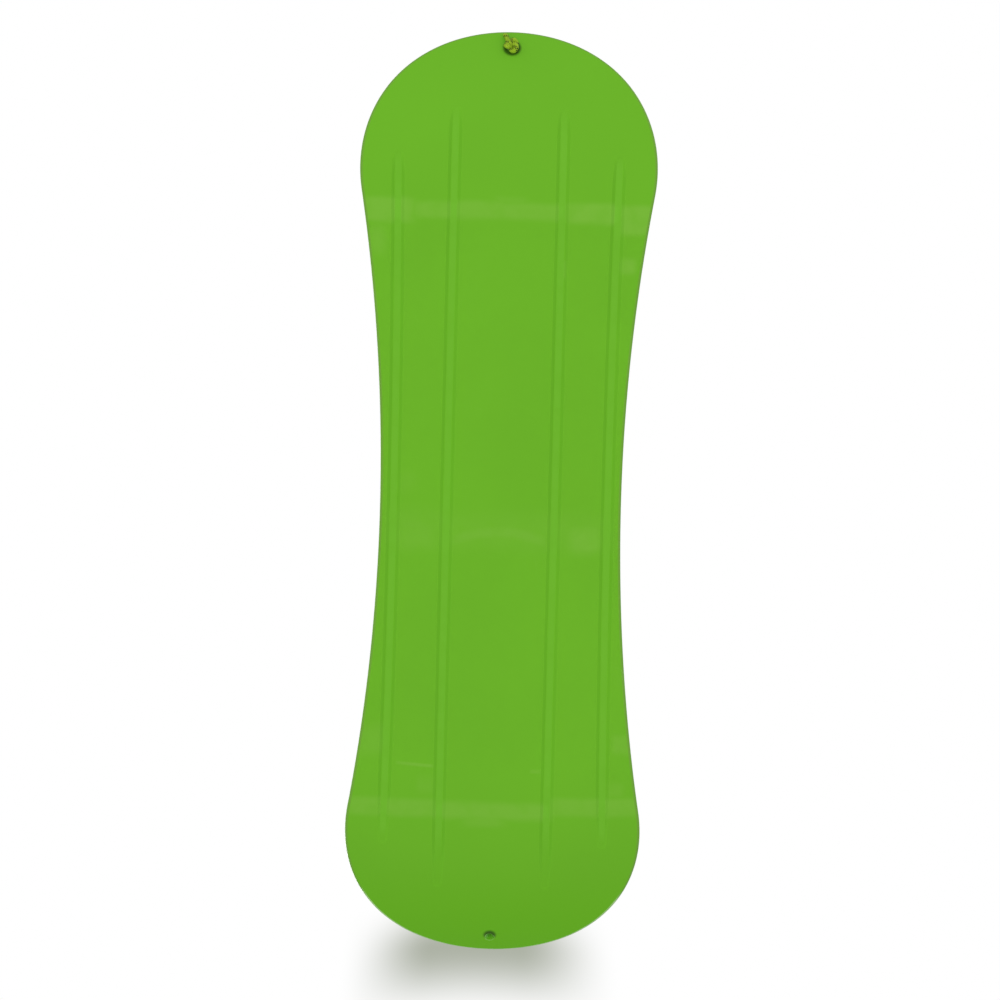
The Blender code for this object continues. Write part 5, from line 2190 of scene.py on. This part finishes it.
        def place(along: float, around: float) -> Vector:
            """Works out the strip's skin.

            Args:
                along: The share of the way along it.
                around: The share of the way round it.

            Returns:
                The point there.
            """
            across, out = rounded_share(around, 8.0)
            turn = start + whole * along
            over = smooth_step(turn, start + whole - lap - 26, start + whole - lap - 2)
            side, up = rounded_share(turn / 360, 7.0)
            reach = self.band * (0.5 + 1.08 * over + 0.5 * out)
            narrow = math.sqrt(max(0.0, 1 - max(0.0, 1 - (1 - along) * whole / 5) ** 2)) * 0.4 + 0.6
            return Vector((
                self.coil_centre + (near + far) / 2 + side * ((far - near) / 2 + reach),
                across * narrow * self.band_width / 2,
                (low + high) / 2 + up * ((high - low) / 2 + reach),
            ))

        tie = publish("coil_tie", swept(150, 20, place), [dress])
        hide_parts("rope_band")
        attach(tie, "board")
        return tie

    def build(self, tie_dress: Material) -> None:
        """Makes the rope, its two knots and the strip that ties its coil.

        Args:
            tie_dress: The finish of the strip.
        """
        coil = self.coil_points()
        points = self.lead_points(coil[0]) + coil + self.end_points(coil[-1])
        route = self.even(points, self.spacing)
        rope = self.cord("tow_rope", route, self.radius, False)
        length = measured(route)[-1]
        rope.data.materials.append(BraidedRope("rope_braid", length=length).material())
        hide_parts("rope_lead", "rope_coil", "rope_end")
        board = self.board
        angle = (board.hole_place - board.kick_start) / board.kick_radius
        under = Matrix.Translation(board.bent((board.hole_place, 0, 0))) @ Matrix.Rotation(-angle, 4, "Y")
        nose_knot = self.knot("nose_knot", under @ Matrix.Rotation(math.radians(self.knot_turn), 4, "Z"))
        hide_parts("rope_knot")
        lie = Matrix(((0, 0, -1, 0), (1, 0, 0, 0), (0, -1, 0, 0), (0, 0, 0, 1)))
        ended = Matrix.Translation(route[-1] + Vector((self.lead_start, 0, 0))) @ lie
        end_knot = self.knot("end_knot", ended)
        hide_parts("rope_end_knot")
        tie = self.tie(tie_dress)
        for piece in (rope, nose_knot, end_knot):
            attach(piece, "board")
            log.info("%s: made", piece.name)
        log.info("rope without its knots: %.3f m", length)


def main() -> None:
    """Builds the studio, the board and all that it carries."""
    logging.basicConfig(level=logging.INFO, format="%(name)s: %(message)s")
    studio = Studio()
    studio.build()
    board = Board()
    deck_green = MouldedPlastic("green_deck", (104, 172, 42), 0.5).material()
    board.build({
        # painted shade under the nose knot and round the tail hole
        BoardPart.BASE: RunningBase(hole_shades=(
            (board.bent((board.hole_place, 0, 0)), 7 * MM, 10.5 * MM),
            (board.bent((3 * MM - board.hole_place, 0, 0)), 4 * MM, 8 * MM),
        )).material(),
        # painted sheen: the rounded rim is greyer and paler than the base, with a pale band along the tail's
        # edge
        BoardPart.RIM: RunningBase("green_rim_painted_sheen", (110, 163, 54), (206, 232, 178), marks=(
            SheenAndScratchBand(-437, 42, 8, -150, 150, 0.5, wave=2.0),
        )).material(),
        BoardPart.DECK: deck_green,
        # painted highlight: the groove floors are paler, with broad pale bands along them
        BoardPart.GROOVE_FLOOR: RunningBase("green_groove_floor_painted_highlight", pale=(112, 184, 46), marks=(
            *RunningBase.marks,
            SheenAndScratchBand(18, 360, 16, -80, 80, 0.55),
            SheenAndScratchBand(3, 334, 8, -150, -80, 0.55),
            SheenAndScratchBand(3, 334, 8, 80, 150, 0.55),
        )).material(),
        # painted light: the groove walls are made paler
        BoardPart.GROOVE_WALL: RunningBase("green_groove_wall_painted_light", painted_light_and_shade=1.035).material(),
        # painted shade: the bore is made darker
        BoardPart.BORE: RunningBase("green_bore_painted_shade", painted_light_and_shade=0.75).material(),
    })
    studio.stand(board)
    studio.dusk(board)
    DeckGrip(board).build(deck_green)
    TowRope(board).build(WovenWebbing("tie_webbing", (30, 31, 34), 0.9 * MM).material())
    dress = BindingDress(
        shell=MouldedPlastic("black_nylon", (34, 35, 38), 0.48).material(),
        disc=MouldedPlastic("grey_nylon", (84, 87, 90), 0.5).material(),
        foam=CellFoam("footbed_foam", (44, 46, 50)).material(),
        webbing=WovenWebbing("strap_webbing", (40, 42, 46)).material(),
        pile=LoopPile("loop_pile", (58, 60, 64)).material(),
        rubber=MouldedPlastic("tip_rubber", (28, 29, 31), 0.62).material(),
        padding=SpacerMesh("spacer_mesh", (74, 78, 84)).material(),
        piping=WovenWebbing("piping_tape", (30, 31, 34), 0.8 * MM).material(),
        thread=SpunThread("lime_thread", (122, 190, 52)).material(),
        steel=PlatedMetal("zinc_steel", (196, 198, 201), 0.3).material(),
        brass=PlatedMetal("brass", (204, 172, 104), 0.34).material(),
    )
    for label, position, side in zip(("front", "rear"), board.binding_places, (1, -1)):
        Binding(label, position, side, board.thickness, dress).build()


if __name__ == "__main__":
    main()
